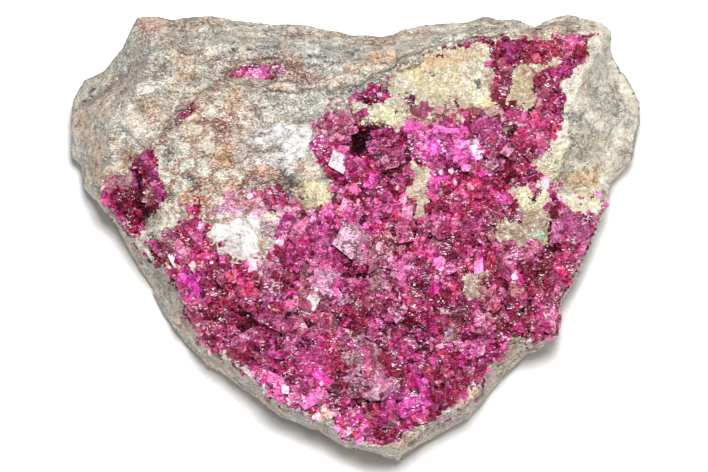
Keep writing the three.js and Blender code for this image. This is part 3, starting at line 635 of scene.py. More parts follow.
@dataclass(frozen=True)
class MineralFinish:
    """A crystalline surface whose broad colour comes from the mesh's tint.

    Args:
        name: the real thing it shows.
        grain: width in mm of its smallest crystals.
        sparkle: how far each small crystal's face turns from the surface, from 0.
        mottle: how much of its palest and of its deepest colour a grain can have, from 0 to 1.
        extremes: hex colours of its palest and deepest grains.
        chunks: width in mm of larger pieces of one lightness, and how much that varies.
        patches: grains of other colours.
        veins: hex colour of fine cracks, and how strongly they show.
        painted_glints: share of the surface with painted flashes of highlight, and their hex colour.
        roughness: least and greatest roughness of its faces.
        ior: its index of refraction.
        gloss: strength of its reflections, 0.5 for a plain mineral, and their hex colour.
        depth: how much light spreads inside, from 0 to 1, and how far in mm.
        bump: height of its fine relief, in mm.
    """

    name: str
    grain: float
    sparkle: float
    mottle: tuple[float, float]
    extremes: tuple[str, str]
    chunks: tuple[float, float]
    patches: tuple[Patch, ...]
    veins: tuple[str, float]
    painted_glints: tuple[float, str]
    roughness: tuple[float, float]
    ior: float
    gloss: tuple[float, str]
    depth: tuple[float, float]
    bump: float

    CLEAN = (0.65, 0.9, 1, 0.3)  # the palest tints' brightness, and how much of deep grains they keep
    LIT = (0.005, 0.11, 0.1, 1)  # the darkest tints' brightness, and how much of pale grains they keep
    PALE_GRAINS = (1, 1.7)  # sum of two chances over which a grain turns pale
    DEEP_GRAINS = (0.3, 1)  # and over which it is deep no more
    CRACK_WIDTH = 0.016
    SWARM = (0.45, 0.62)  # noise over which the painted flashes gather
    BEDDING_TURN = -0.5
    SCATTER = (1.0, 0.35, 0.6)  # how far red, green and blue spread inside

    def noise(
        self, n: Nodes, place, size: float, seed: float, long: float = 1, detail: float = 5
    ) -> bpy.types.NodeSocket:
        """A fractal noise with patches of a size in mm, drawn out along the bedding."""
        if long != 1:
            drawn = {"Vector": place, "Rotation": (0, 0, self.BEDDING_TURN), "Scale": (1 / long, 1, 1)}
            place = n.add("Mapping", drawn).outputs[0]
        inputs = {"Vector": place, "W": seed, "Scale": 0.5 / (size * MM), "Detail": detail, "Roughness": 0.68}
        return n.add("TexNoise", inputs, noise_dimensions="4D").outputs["Fac"]

    def colour(self, n: Nodes, place, grains, slivers) -> bpy.types.NodeSocket:
        """The colour: tint times the chunks' lightness, with pale and deep grains, patches, cracks and
        painted flashes.

        The palest tints keep clean: deep grains and patches show less there. The darkest keep dark: pale
        grains and patches show less there.

        Args:
            n: the material's nodes.
            place: where on the piece, with its grid bent by noise.
            grains: colour of each small crystal, at random.
            slivers: colour of each thin sliver cell, at random, which picks the painted flashes.

        Returns:
            The colour socket.
        """
        size, strength = self.chunks
        chunks = n.add("TexVoronoi", {"Vector": place, "Scale": 1 / (size * MM)}).outputs["Color"]
        light = n.spread(n.part(chunks, "Red"), 0, 1, 1 - strength, 1 + strength)
        grey = n.add("CombineXYZ", {"X": light, "Y": light, "Z": light}).outputs[0]
        tint = n.add("Attribute", attribute_name="tint").outputs["Color"]
        colour = n.blend(1.0, tint, grey, "MULTIPLY")
        both = n.reckon("ADD", n.part(grains, "Red"), n.part(slivers, "Red"))
        brightness = n.add("RGBToBW", {"Color": tint}).outputs[0]
        clean, lit = n.spread(brightness, *self.CLEAN), n.spread(brightness, *self.LIT)
        pale = n.spread(both, *self.PALE_GRAINS, 0, self.mottle[0])
        deep = n.spread(both, *self.DEEP_GRAINS, self.mottle[1], 0)
        for extreme, share, kept in zip(self.extremes, (pale, deep), (lit, clean)):
            colour = n.blend(n.reckon("MULTIPLY", share, kept), colour, rgba(extreme))
        kept = n.reckon("MULTIPLY", clean, lit)
        for number, patch in enumerate(self.patches):
            level = self.noise(n, place, patch.size, 3.0 + 5 * number, patch.long)
            share = n.spread(level, patch.level, patch.level + patch.soft, 0, patch.strength)
            colour = n.blend(n.reckon("MULTIPLY", share, kept), colour, rgba(patch.colour), patch.lay.value)
        cracks = self.noise(n, place, 6 * self.grain, 1.0, 1, 9)
        away = n.reckon("ABSOLUTE", n.reckon("SUBTRACT", cracks, 0.5))
        share = n.spread(away, 0.0, self.CRACK_WIDTH, self.veins[1], 0)
        colour = n.blend(share, colour, rgba(self.veins[0]))
        # Painted highlights: near-white flashes on some slivers, gathered in swarms.
        most, painted_glint_colour = self.painted_glints
        swarm = n.spread(self.noise(n, place, 5 * self.grain, 2.0), *self.SWARM, -2 * most, most)
        painted_flash = n.reckon("ADD", n.part(slivers, "Blue"), swarm)
        return n.blend(n.spread(painted_flash, 1 - most, 1 - 0.7 * most, 0, 0.9), colour, rgba(painted_glint_colour))

    def material(self) -> bpy.types.Material:
        """Builds the material.

        The grains are Voronoi cells in object space, each with its own lightness and its own tilt, so that
        some catch the light. Slivers are longer cells, some of them painted flashes of highlight.
        """
        n = Nodes(self.name)
        place = n.add("TexCoord").outputs["Object"]
        per_metre = 1 / (self.grain * MM)
        warp = n.add("TexNoise", {"Vector": place, "Scale": 0.5 * per_metre, "Detail": 3.0}).outputs["Color"]
        shift = n.vector("SCALE", {0: warp, "Scale": 1.2 * self.grain * MM})
        bent = n.vector("ADD", {0: place, 1: shift})
        leaning = {"Vector": bent, "Rotation": (0.3, 0.2, 0.9), "Scale": (0.4, 1.3, 1.0)}
        long = n.add("Mapping", leaning).outputs[0]
        grains, slivers = (
            n.add("TexVoronoi", {"Vector": at, "Scale": scale}).outputs["Color"]
            for at, scale in ((bent, per_metre), (long, 1.5 * per_metre))
        )
        fine = {"Vector": bent, "Scale": 0.6 * per_metre, "Detail": 6.0, "Roughness": 0.7}
        relief = n.add("TexNoise", fine).outputs["Fac"]
        bump = {"Height": relief, "Distance": self.bump * MM, "Strength": 1.0}
        normal = n.add("Bump", bump).outputs["Normal"]
        for cell, strength in ((grains, self.sparkle), (slivers, 0.8 * self.sparkle)):
            turned = n.vector("SUBTRACT", {0: cell, 1: (0.5, 0.5, 0.5)})
            normal = n.vector("ADD", {0: normal, 1: n.vector("SCALE", {0: turned, "Scale": strength})})
        shader = n.add(
            "BsdfPrincipled",
            {
                "Base Color": self.colour(n, bent, grains, slivers),
                "Roughness": n.spread(n.part(grains, "Green"), 0, 1, *self.roughness),
                "IOR": self.ior,
                "Specular IOR Level": self.gloss[0],
                "Specular Tint": rgba(self.gloss[1]),
                "Normal": n.vector("NORMALIZE", {0: normal}),
                "Subsurface Weight": self.depth[0],
                "Subsurface Radius": self.SCATTER,
                "Subsurface Scale": self.depth[1] * MM,
            },
        )
        return n.finish(shader)


# Magenta cobaltoan dolomite: glassy faces over a deep pink body that glows a little where light enters.
MAGENTA = MineralFinish(
    "cobaltoan dolomite", 0.32, 0.85, (0.28, 0.64), ("#fac0e0", "#54001a"), (1.1, 0.15),
    (
        Patch("#560018", 0.9, 0.53, 0.8),  # painted shade: dark patches at random, as between crystals
        Patch("#d8389c", 1.6, 0.56, 0.35),  # vivid pink glow
        Patch("#b82044", 2.0, 0.56, 0.35),  # crimson glow
        Patch("#f6c8e0", 0.45, 0.59, 0.8, 0.04, 2.2),  # frosted edges: pale strokes, partly frost and partly painted highlight
        Patch("#9a7458", 0.7, 0.62, 0.6),  # brown grime
        Patch("#48000f", 0.2, 0.6, 0.7, 0.03),  # painted shade of tiny pits
    ),
    # The second pair below is the painted flashes: near-white highlights on a tenth of the surface.
    ("#58001c", 0.5), (0.1, "#fff4f8"), (0.06, 0.4), 1.65, (0.4, "#ffb4d2"), (0.3, 0.7), 0.3,
)  # fmt: skip
# Cream calcite: a sugary crust of tiny grains, softly lit from within, with grey-brown grime between them.
CREAM = MineralFinish(
    "cream calcite crust", 0.28, 0.45, (0.4, 0.4), ("#ffffff", "#a8926c"), (1.5, 0.05),
    (
        Patch("#fffaee", 0.8, 0.54, 0.6),  # white grains
        Patch("#cdbb9c", 0.6, 0.59, 0.7, 0.06, 1, Lay.TINT),  # grime
        Patch("#4a4236", 0.3, 0.67, 0.6),  # specks
    ),
    # The second pair below is the painted flashes of white highlight.
    ("#b09a76", 0.3), (0.05, "#ffffff"), (0.25, 0.75), 1.55, (0.5, "#ffffff"), (0.25, 0.6), 0.25,
)  # fmt: skip
# Grey dolomite rock: granular and broken, streaked along its bedding; tilted grains catch the lamps, and a
# few flashes are painted highlights.
ROCK = MineralFinish(
    "grey dolomite rock", 0.24, 0.5, (0.75, 0.7), ("#fffcf4", "#4e443a"), (1.4, 0.1),
    (
        Patch("#f0d2bc", 3.2, 0.55, 0.8, 0.1, 1, Lay.TINT),  # rusty blush
        Patch("#c2c4c2", 2.6, 0.56, 0.8, 0.1, 1.5, Lay.TINT),  # cool grey
        Patch("#b4aca2", 0.8, 0.55, 0.7, 0.04, 3.0, Lay.TINT),  # grey streaks
        Patch("#fdfaf2", 0.5, 0.57, 0.6, 0.04, 2.0),  # white grains
        Patch("#a89c90", 0.3, 0.56, 0.8, 0.03, 1.5, Lay.TINT),  # fine grit
        Patch("#453c34", 0.3, 0.645, 0.8, 0.03, 1.5),  # dark specks
    ),
    # The second pair below is the painted flashes of white highlight.
    ("#5e5146", 0.6), (0.04, "#ffffff"), (0.35, 0.85), 1.55, (0.5, "#ffffff"), (0.0, 0.5), 0.4,
)  # fmt: skip


@dataclass(frozen=True)
class Stain:
    """A patch of another colour: full inside its oval and frayed at the rim by noise.

    Args:
        colour: hex.
        strength: how much of the colour shows, from 0 to 1.
        fray: how ragged its rim is.
        oval: where it lies.
    """

    colour: str
    strength: float
    fray: float
    oval: Oval

    def over(self, colours: Array, u: Array, v: Array, noise: Array) -> Array:
        """Lays the stain over colours at points of the sheet.

        Formula: share = strength · step((end − reach + fray · noise) / fade).
        """
        within = (STAIN_END - self.oval.reach(u, v) + self.fray * noise) / STAIN_FADE
        return blended(colours, self.colour, self.strength * step(within))


def stains(*rows: tuple) -> tuple[Stain, ...]:
    """Stains from rows of colour, strength, fray, middle, half-widths and, where it isn't 0, turn."""
    return tuple(Stain(colour, strength, fray, Oval(*oval)) for colour, strength, fray, *oval in rows)


class Face(Enum):
    """How finely the pieces of the face are cut, in mm between neighbouring points."""

    CRUST = 0.5
    SMALL_CRUST = 0.35


ROCK_STAINS = stains(
    ("#d09080", 0.75, 0.5, -37.1, 38.4, 3.4, 2),  # salmon corner
    ("#b0968c", 0.6, 0.7, -31, 37.8, 4, 1.3), ("#c8903c", 0.8, 0.6, -25.9, 38.6, 1.8, 0.8),
    ("#8f6654", 0.6, 0.9, -38.4, 35.9, 1.6, 1.4), ("#a9a991", 0.6, 0.6, -44.4, 32, 6.5, 1.8, 50),
    ("#dcbcae", 0.7, 0.8, -44.9, 25.1, 5, 1.5, 45),
    ("#776c66", 0.75, 0.5, -43.8, 28, 8, 0.8, 37),  # painted shade in the groove
    ("#a8928a", 0.6, 0.9, -38, 29.4, 4.4, 2.6, 20), ("#f8f5f2", 0.95, 0.5, -38.3, 26.5, 2.3, 0.9, -5),
    ("#e8e4da", 0.8, 0.5, -41, 24, 1.3, 0.9), ("#a3968c", 0.5, 0.9, -32.8, 24.8, 3, 2.4),
    ("#e2e0d6", 0.6, 0.8, -33, 29.2, 2.4, 1.2, 60), ("#958b82", 0.7, 0.5, -29.2, 28.2, 2.2, 1.3, 10),
    ("#857b76", 0.6, 1.0, -45, 13.7, 4, 1.0, 22), ("#cbc3b4", 0.6, 0.9, -15.6, 35.8, 14, 3.5),
    ("#3a4044", 0.9, 0.6, -21.9, 33.8, 1.2, 0.7, 50), ("#7f868a", 0.8, 0.7, 9, 30.2, 10, 1.3, 24),
    ("#858a8e", 0.6, 0.7, -16.5, 33.6, 3, 1.8), ("#8f9496", 0.6, 0.7, -5.6, 32.7, 5, 1.6),
    ("#b4885c", 0.7, 0.8, 4.5, 35.4, 3, 1.7), ("#d2ae88", 0.7, 0.7, 3, 31.4, 6, 0.8, 16),
    ("#a88468", 0.6, 0.9, -11, 36, 3, 1), ("#eceae4", 0.7, 0.8, -9, 33.8, 2.6, 1.2),
    ("#b98b5a", 0.6, 0.7, 38.9, 37.6, 4, 2), ("#2a1a10", 0.95, 0.3, -47.8, 26.4, 0.9, 0.4, 35),
    ("#3a2a20", 0.8, 0.3, -50.7, 22.7, 0.6, 0.3, 30), ("#9c6838", 0.8, 0.4, -46.9, 28.6, 0.9, 0.4, 5),
    ("#faf2e0", 0.92, 0.5, 44, 20, 9, 18),  # right rock
    ("#b4a288", 0.8, 0.7, 41.9, 16.6, 3.8, 3.4), ("#9aa09a", 0.7, 0.9, 45.8, 24.7, 3.2, 2.2),
    ("#f0e8d8", 0.7, 0.7, 43.4, 28.6, 2.2, 2.6, 60), ("#f2e6d0", 0.7, 0.8, 46.6, 16, 2, 1.4, 20),
    ("#a0a49e", 0.65, 0.8, 49.5, 20.4, 1.4, 1.7), ("#a8aaa4", 0.6, 0.9, 42.5, 23, 2, 0.8, 30),
    ("#ccb198", 0.7, 0.7, 41.5, 26.4, 1, 1.8), ("#f4f0e8", 0.7, 0.8, 46.2, 19.8, 2.4, 1),
    ("#59544d", 0.85, 0.8, 39.5, 21.2, 1.4, 1), ("#ddd2ac", 0.85, 0.7, 35.5, 12.8, 3.8, 2.6, 60),
    ("#dcae6c", 0.9, 0.9, 41.6, 10.3, 4.6, 1.7, 5), ("#dda27c", 0.7, 0.7, 44.7, 12, 1.2, 1.4),
    ("#e8decc", 0.6, 0.5, 48.2, 13.5, 2, 2.8), ("#6e3020", 0.9, 0.5, 48.4, 14.9, 0.7, 0.5),
    ("#ece0c8", 0.85, 0.7, -22, 10, 13, 14, -20),  # cream ground of the stained middle
    ("#a8705c", 0.6, 1.1, -17, 29.6, 8, 2.9), ("#96584c", 0.7, 1.1, -8.3, 28.5, 5.5, 2.1, -8),
    ("#c88a4c", 0.8, 0.8, -5.5, 28.2, 0.8, 0.8), ("#c9c7b4", 0.7, 0.9, -20.2, 26, 3.8, 1.6),
    ("#e2e3da", 0.85, 0.7, -10.8, 23.4, 7.5, 2.4, 8),  # pale band
    ("#a5a39d", 0.55, 1.3, -13.8, 22.7, 2.8, 2.2), ("#6a716e", 0.8, 0.9, -3.5, 25.7, 1.8, 1.2),
    # Both stains below run along the upper plate's ledge: partly the seam's own dark red, partly painted
    # shadow of the ledge.
    ("#6e2c30", 0.9, 0.6, -30, 22.7, 8, 0.8, 44), ("#7e4a44", 0.8, 0.6, -35.4, 16.6, 3.2, 0.6, 40),
    ("#b43c74", 0.85, 0.6, -43.4, 9.4, 2.4, 2), ("#e0dabf", 0.8, 0.7, -26.8, 23.4, 3, 2.1, 15),
    ("#c8905a", 0.75, 1.2, -22.3, 23, 1.6, 2.6), ("#985a3a", 0.75, 1.0, -27.5, 20.6, 2.6, 0.7),
    ("#dccdb4", 0.8, 0.7, -28, 17.3, 2.8, 2.2, 60), ("#ab6248", 0.75, 1.2, -24.2, 17.9, 1.7, 2.8),
    ("#7d3a28", 0.8, 1.1, -22.2, 20.8, 2.3, 1.5), ("#e6bda8", 0.7, 0.8, -20.6, 18.5, 1.4, 2.2),
    ("#dea060", 0.85, 0.8, -23.1, 14.4, 3, 1.9, 10), ("#45413a", 0.85, 0.9, -28.2, 14.6, 0.9, 0.9),
    ("#cdd0c4", 0.75, 0.9, -31, 12, 3.4, 4), ("#e4dac4", 0.7, 0.8, -34.8, 11.8, 1.5, 3),
    ("#464a47", 0.85, 0.9, -34, 14.8, 1, 1.3), ("#3c4440", 0.9, 0.9, -29.8, 10.1, 2, 0.8, -45),
    ("#bb7746", 0.85, 0.9, -29, 6, 3.4, 2.2, -10), ("#93563c", 0.7, 0.9, -31, -1, 1, 4.5, 10),
    ("#e4dccd", 0.9, 0.6, -32.7, 3, 1.3, 2.4), ("#c8a898", 0.7, 0.9, -34, -2.8, 1.5, 2.4, -20),
    ("#dccfb8", 0.8, 0.7, -35.6, 2.7, 0.9, 0.9), ("#41402f", 0.9, 0.6, -36.9, -0.7, 0.6, 1),
    ("#fbf0e3", 0.95, 0.6, -17.2, 14.6, 4.2, 3.6, 10),  # white cleavage faces
    ("#f2e9e6", 0.85, 0.9, -8.6, 16.2, 2.2, 3.4), ("#f8e6de", 0.9, 0.8, -19.4, 15.4, 2.6, 2.4),
    ("#fffaf4", 0.95, 0.5, -14, 16, 6.4, 3.6, 8), ("#8f8480", 0.6, 1.3, -8.2, 15.5, 0.5, 3, -15),
    ("#ffffff", 1.0, 0.5, -16.7, 18, 3.6, 1.6, 10), ("#ffffff", 1.0, 0.4, -12.3, 15.2, 2.4, 4.6),
    ("#d08458", 0.75, 1.0, -16, 11.4, 3.2, 0.9, 10), ("#fa9cdc", 0.9, 0.7, -18, 4.2, 6.8, 4.6),  # pink halo
    ("#ffffff", 0.97, 0.5, -21.5, 0, 4.6, 3.6), ("#ea66cc", 0.85, 0.9, -23.2, 7, 2.2, 1.4, -60),
    ("#8c5044", 0.8, 1.0, -18.4, 8.6, 3, 1.8), ("#a6a79c", 0.75, 0.8, -18.5, 8, 1.6, 1),
    ("#24261e", 0.95, 1.0, -11.2, 8.2, 4.6, 1.8, -62),
    ("#ecdfa8", 0.9, 0.6, -7.4, 7, 3.4, 2.8),  # yellow knob
    ("#fffdf6", 0.95, 0.5, -24, 2.9, 1.6, 1.1), ("#fbf6ee", 0.95, 0.5, -24.5, -1.3, 1.5, 1.3),
    ("#ffffff", 1.0, 0.5, -20.2, -2.4, 3.2, 2.5), ("#f4f0c8", 0.95, 0.4, -14.9, 3.3, 1.6, 0.8),
    ("#8a7680", 0.7, 1.1, -15.2, 0, 1.9, 1.9), ("#d8d2c6", 0.8, 0.5, -36.5, 7.8, 1.5, 1.8),
)  # fmt: skip
SEAM_STAINS = stains(
    ("#a04a2c", 0.65, 0.9, -24.5, 14.5, 7.5, 8, 15), ("#b06a4a", 0.25, 0.8, -15, 6, 8, 4, 15),
    ("#9a5a3c", 0.5, 0.8, -31, 6.5, 5, 5), ("#a9a59c", 0.5, 0.8, -11, 20, 8, 5),
    ("#c8b896", 0.4, 0.8, 44, 20, 9, 17),
)  # fmt: skip
DRUSE_STAINS = stains(
    ("#d454a4", 0.85, 0.6, 15.5, 17, 9.5, 3.8, -14),  # pink spray
    ("#c464a8", 0.7, 0.7, 24, 18.6, 2.8, 2.2), ("#f0c4dc", 0.75, 0.9, 20.6, 16.6, 2.2, 1.4, -20),
    ("#f070cc", 0.85, 0.7, 16.9, 15.9, 3.8, 2, -25), ("#a0284a", 0.7, 0.6, 33, 19.5, 4.4, 6),  # red lobe
    ("#d628a8", 0.9, 0.5, 36.6, 23.3, 0.9, 2.6), ("#dc6480", 0.8, 0.6, 33, 33.5, 8, 3.4),
    ("#cc2c98", 0.8, 0.5, 37.6, 30, 2.8, 1.4, 35), ("#a81c94", 0.7, 0.5, 28, 33.5, 1.6, 2.2),
    ("#f2e8cc", 0.95, 0.5, 27.1, 31, 1.1, 1.4), ("#d0b8a0", 0.9, 0.6, 27.4, 19.6, 0.9, 1.4),
    ("#e858bc", 0.85, 0.5, 36.4, 6.6, 1.8, 0.9), ("#c6609a", 0.75, 0.7, 41, -1.5, 2.4, 4.4, -20),
    ("#c2148e", 0.9, 0.5, 40.6, 2.6, 1.7, 1.6), ("#b02c50", 0.6, 0.7, 36, -7, 4, 7, -20),
    ("#9c2040", 0.6, 0.7, 27, -14, 8, 5, 20), ("#dc5aa6", 0.6, 0.9, -5, -3, 13, 8, -15),
    ("#a4003c", 0.85, 0.7, -22.5, -12, 9, 7.5, -20), ("#8e0638", 0.65, 0.9, 18.5, 2, 8, 6.5),
    ("#ea44c6", 0.9, 0.6, -30.5, -7.6, 2.2, 1.6), ("#a8148a", 0.8, 0.7, -29.2, -11, 2.2, 1.4),
    ("#b01870", 0.8, 0.6, -29.2, -0.8, 1.6, 2.8, 10), ("#b42a88", 0.4, 0.9, -14, -22, 9, 5, -35),
    ("#c044b0", 0.75, 0.7, -16, -11.5, 2.4, 1.4, 30), ("#da58ba", 0.75, 0.7, -7, 1, 2.2, 4, 20),
    ("#dc3cb4", 0.75, 0.5, 10, -30, 5, 2.4, 20), ("#e58abc", 0.7, 0.6, 5, -27.6, 3, 1.4, 30),
    ("#c82c94", 0.6, 0.9, 9.5, -21, 5, 3.4), ("#a3816e", 0.7, 0.9, 5.6, -1.4, 3, 2.6),
    ("#cdbaa8", 0.85, 0.7, 2.9, -8.6, 2, 1.7), ("#a88a7c", 0.6, 1.0, -7.3, -9.5, 2.2, 2.6),
    ("#d2beb4", 0.75, 0.8, -4.6, -15.5, 2, 1.6), ("#5a5044", 0.7, 1.0, 0.4, -18.5, 2.4, 1.6),
    ("#3c3a3a", 0.8, 0.8, -0.6, -22.6, 1, 0.8), ("#d4c0ba", 0.6, 1.0, 1.6, -21.6, 3.6, 3),
    ("#dccccc", 0.6, 0.9, 1.8, -26, 1.8, 3), ("#d8ccae", 0.75, 0.7, -6.5, -33, 2.6, 1.6),
    ("#e2d6a0", 0.9, 0.5, -7.6, 7.4, 2.4, 2.6), ("#b98a5c", 0.6, 0.9, -10, 4.5, 3, 2),
    ("#dc8a96", 0.65, 0.7, 24.5, -15.5, 2.2, 4, 15), ("#c8a494", 0.6, 0.8, 22.8, -10.4, 1.4, 1.6),
    ("#c7a59a", 0.5, 0.9, 30, 1, 5, 4), ("#ecbccc", 0.9, 0.7, -4.6, 21, 4.8, 3.2, 25),
    ("#84184c", 0.7, 0.8, 15.5, -5, 4, 3), ("#f0c4d8", 0.7, 0.9, -11.3, 1.4, 3.4, 3),  # pale crystals
    ("#f6cce0", 0.75, 0.8, -16.7, -5.4, 3, 2.4), ("#e0a8b8", 0.7, 0.9, 3.6, -4.4, 3, 2.2),
    ("#e8a4c4", 0.65, 0.9, 2.2, -12.6, 3, 2.2), ("#ecd0dc", 0.75, 0.9, 0.6, -27, 2.4, 3.2),
    ("#dccab0", 0.85, 0.7, 6.5, 27, 3, 3), ("#dcc8ae", 0.9, 0.7, 14, 21.8, 6.5, 1.5),
    ("#dcc4b0", 0.8, 0.9, 22.5, 23, 3, 1.2), ("#d8a8b4", 0.7, 0.8, 26, 28.5, 1.3, 3.4),
    ("#dca4b0", 0.65, 0.8, 33.6, 26.6, 1.9, 2.4), ("#dcbcae", 0.8, 0.6, 42.4, 33.2, 1.8, 2),
    ("#e4d4cc", 0.85, 0.6, -6, 23.4, 3, 1.8), ("#c8b0a4", 0.85, 0.6, -34, -0.6, 1.5, 3),
    ("#7a0c3c", 0.7, 0.7, 25, 13.4, 3, 2),  # deeper places: painted shade where the druse lies low, also the next row
    ("#700c34", 0.7, 0.8, 29.6, -5.4, 3.6, 2.4), ("#38081a", 1.0, 0.25, 0.4, 16.6, 2.6, 2.3),  # holes: painted shade, nearly black
    ("#38081a", 1.0, 0.3, 28.5, 17.3, 1.7, 1.4), ("#30021a", 0.95, 0.5, -12.8, -15.4, 1.3, 2.6, -15),
)  # fmt: skip
CREAM_STAINS = stains(
    ("#d0c8b4", 0.6, 0.8, 8, 25, 4, 3.4), ("#e4d6b4", 0.7, 0.8, 16.5, 27.5, 5, 3),
    ("#ece4b4", 0.75, 0.6, 3.5, 21.5, 4, 1.6, 10), ("#e4bc92", 0.7, 0.8, 15.8, 31.4, 3.8, 1.2, 10),
    ("#efd993", 0.7, 0.7, 10.4, 28.6, 1.5, 1), ("#f0dca0", 0.8, 0.7, 24, 24, 1.8, 1),
    ("#b08f7a", 0.65, 1.1, 16, 23, 5.4, 1.1), ("#b0806c", 0.65, 0.9, 24.4, 28, 0.9, 3),
    ("#f0dcbc", 0.6, 0.7, 29.5, 26.5, 3, 4), ("#b89a80", 0.5, 0.9, 30.5, 5.5, 5, 5),
    ("#3d4741", 0.95, 0.4, 22, 27.3, 1, 0.5, -60), ("#66543e", 0.85, 0.8, 10.7, 30.7, 1.1, 0.6, 30),
    ("#54463a", 0.85, 0.6, 7.9, 29.7, 0.7, 0.4), ("#2f352d", 0.95, 0.3, 2.7, 22.9, 0.7, 0.4),
    ("#bea480", 0.75, 0.9, 31, 27, 3.5, 5), ("#6a4038", 0.7, 0.7, 28.8, 21.8, 0.9, 1.2),
    ("#c8ac98", 0.75, 0.7, 11.4, 7, 2.4, 4.4), ("#9b9c7c", 0.7, 0.7, 11.5, 11.8, 1.2, 0.7),
    ("#967260", 0.85, 0.7, 21.4, -9.3, 3, 4), ("#a88472", 0.85, 0.9, 30, 1.5, 4.5, 3.6),
    ("#efe6c2", 0.85, 0.6, 31.6, 7, 3, 2.4), ("#2f3a30", 0.95, 0.3, 31.6, 8.2, 0.4, 0.4),
    ("#2f3a30", 0.95, 0.3, 31.3, 5.8, 0.4, 0.3), ("#8fd0a0", 0.85, 0.4, 32.7, -0.2, 1.1, 0.9),
    ("#ded4b0", 0.8, 0.7, 41.5, 5.8, 3, 2.2),
)  # fmt: skip
POCKET_STAINS = stains(
    ("#9a0840", 0.8, 0.6, -41.5, 3.6, 3.2, 3.2),  # bowl of the left pocket
    ("#e058b4", 0.85, 0.5, -40.9, 9.5, 2.4, 1.4, 10), ("#d8508e", 0.7, 0.5, -45, 8.3, 1.5, 1),
    ("#9c0f3f", 0.8, 0.5, -39.4, 11.8, 1.2, 1.2), ("#b8609a", 0.8, 0.5, -38.6, 13.9, 1, 1.2),
    ("#a8409a", 0.7, 0.5, -36.5, 10.9, 1, 1.6), ("#b84aa4", 0.8, 0.6, -35, 7.6, 1.2, 1.6),
    ("#d8b8a6", 0.95, 0.4, -37.6, 7.1, 1.1, 2), ("#3a0618", 0.8, 0.4, -39.2, 6, 1.1, 1.5, 20),
    ("#38160f", 0.85, 0.6, -37.6, 3.6, 1, 1.6), ("#f08cd0", 0.95, 0.6, -18.7, 29.7, 3.2, 1.5),  # upper pocket
    ("#fbe6f0", 0.95, 0.4, -13.6, 30, 1.8, 1.5), ("#b0487c", 0.8, 0.5, -23, 29.3, 1.6, 1),
)  # fmt: skip


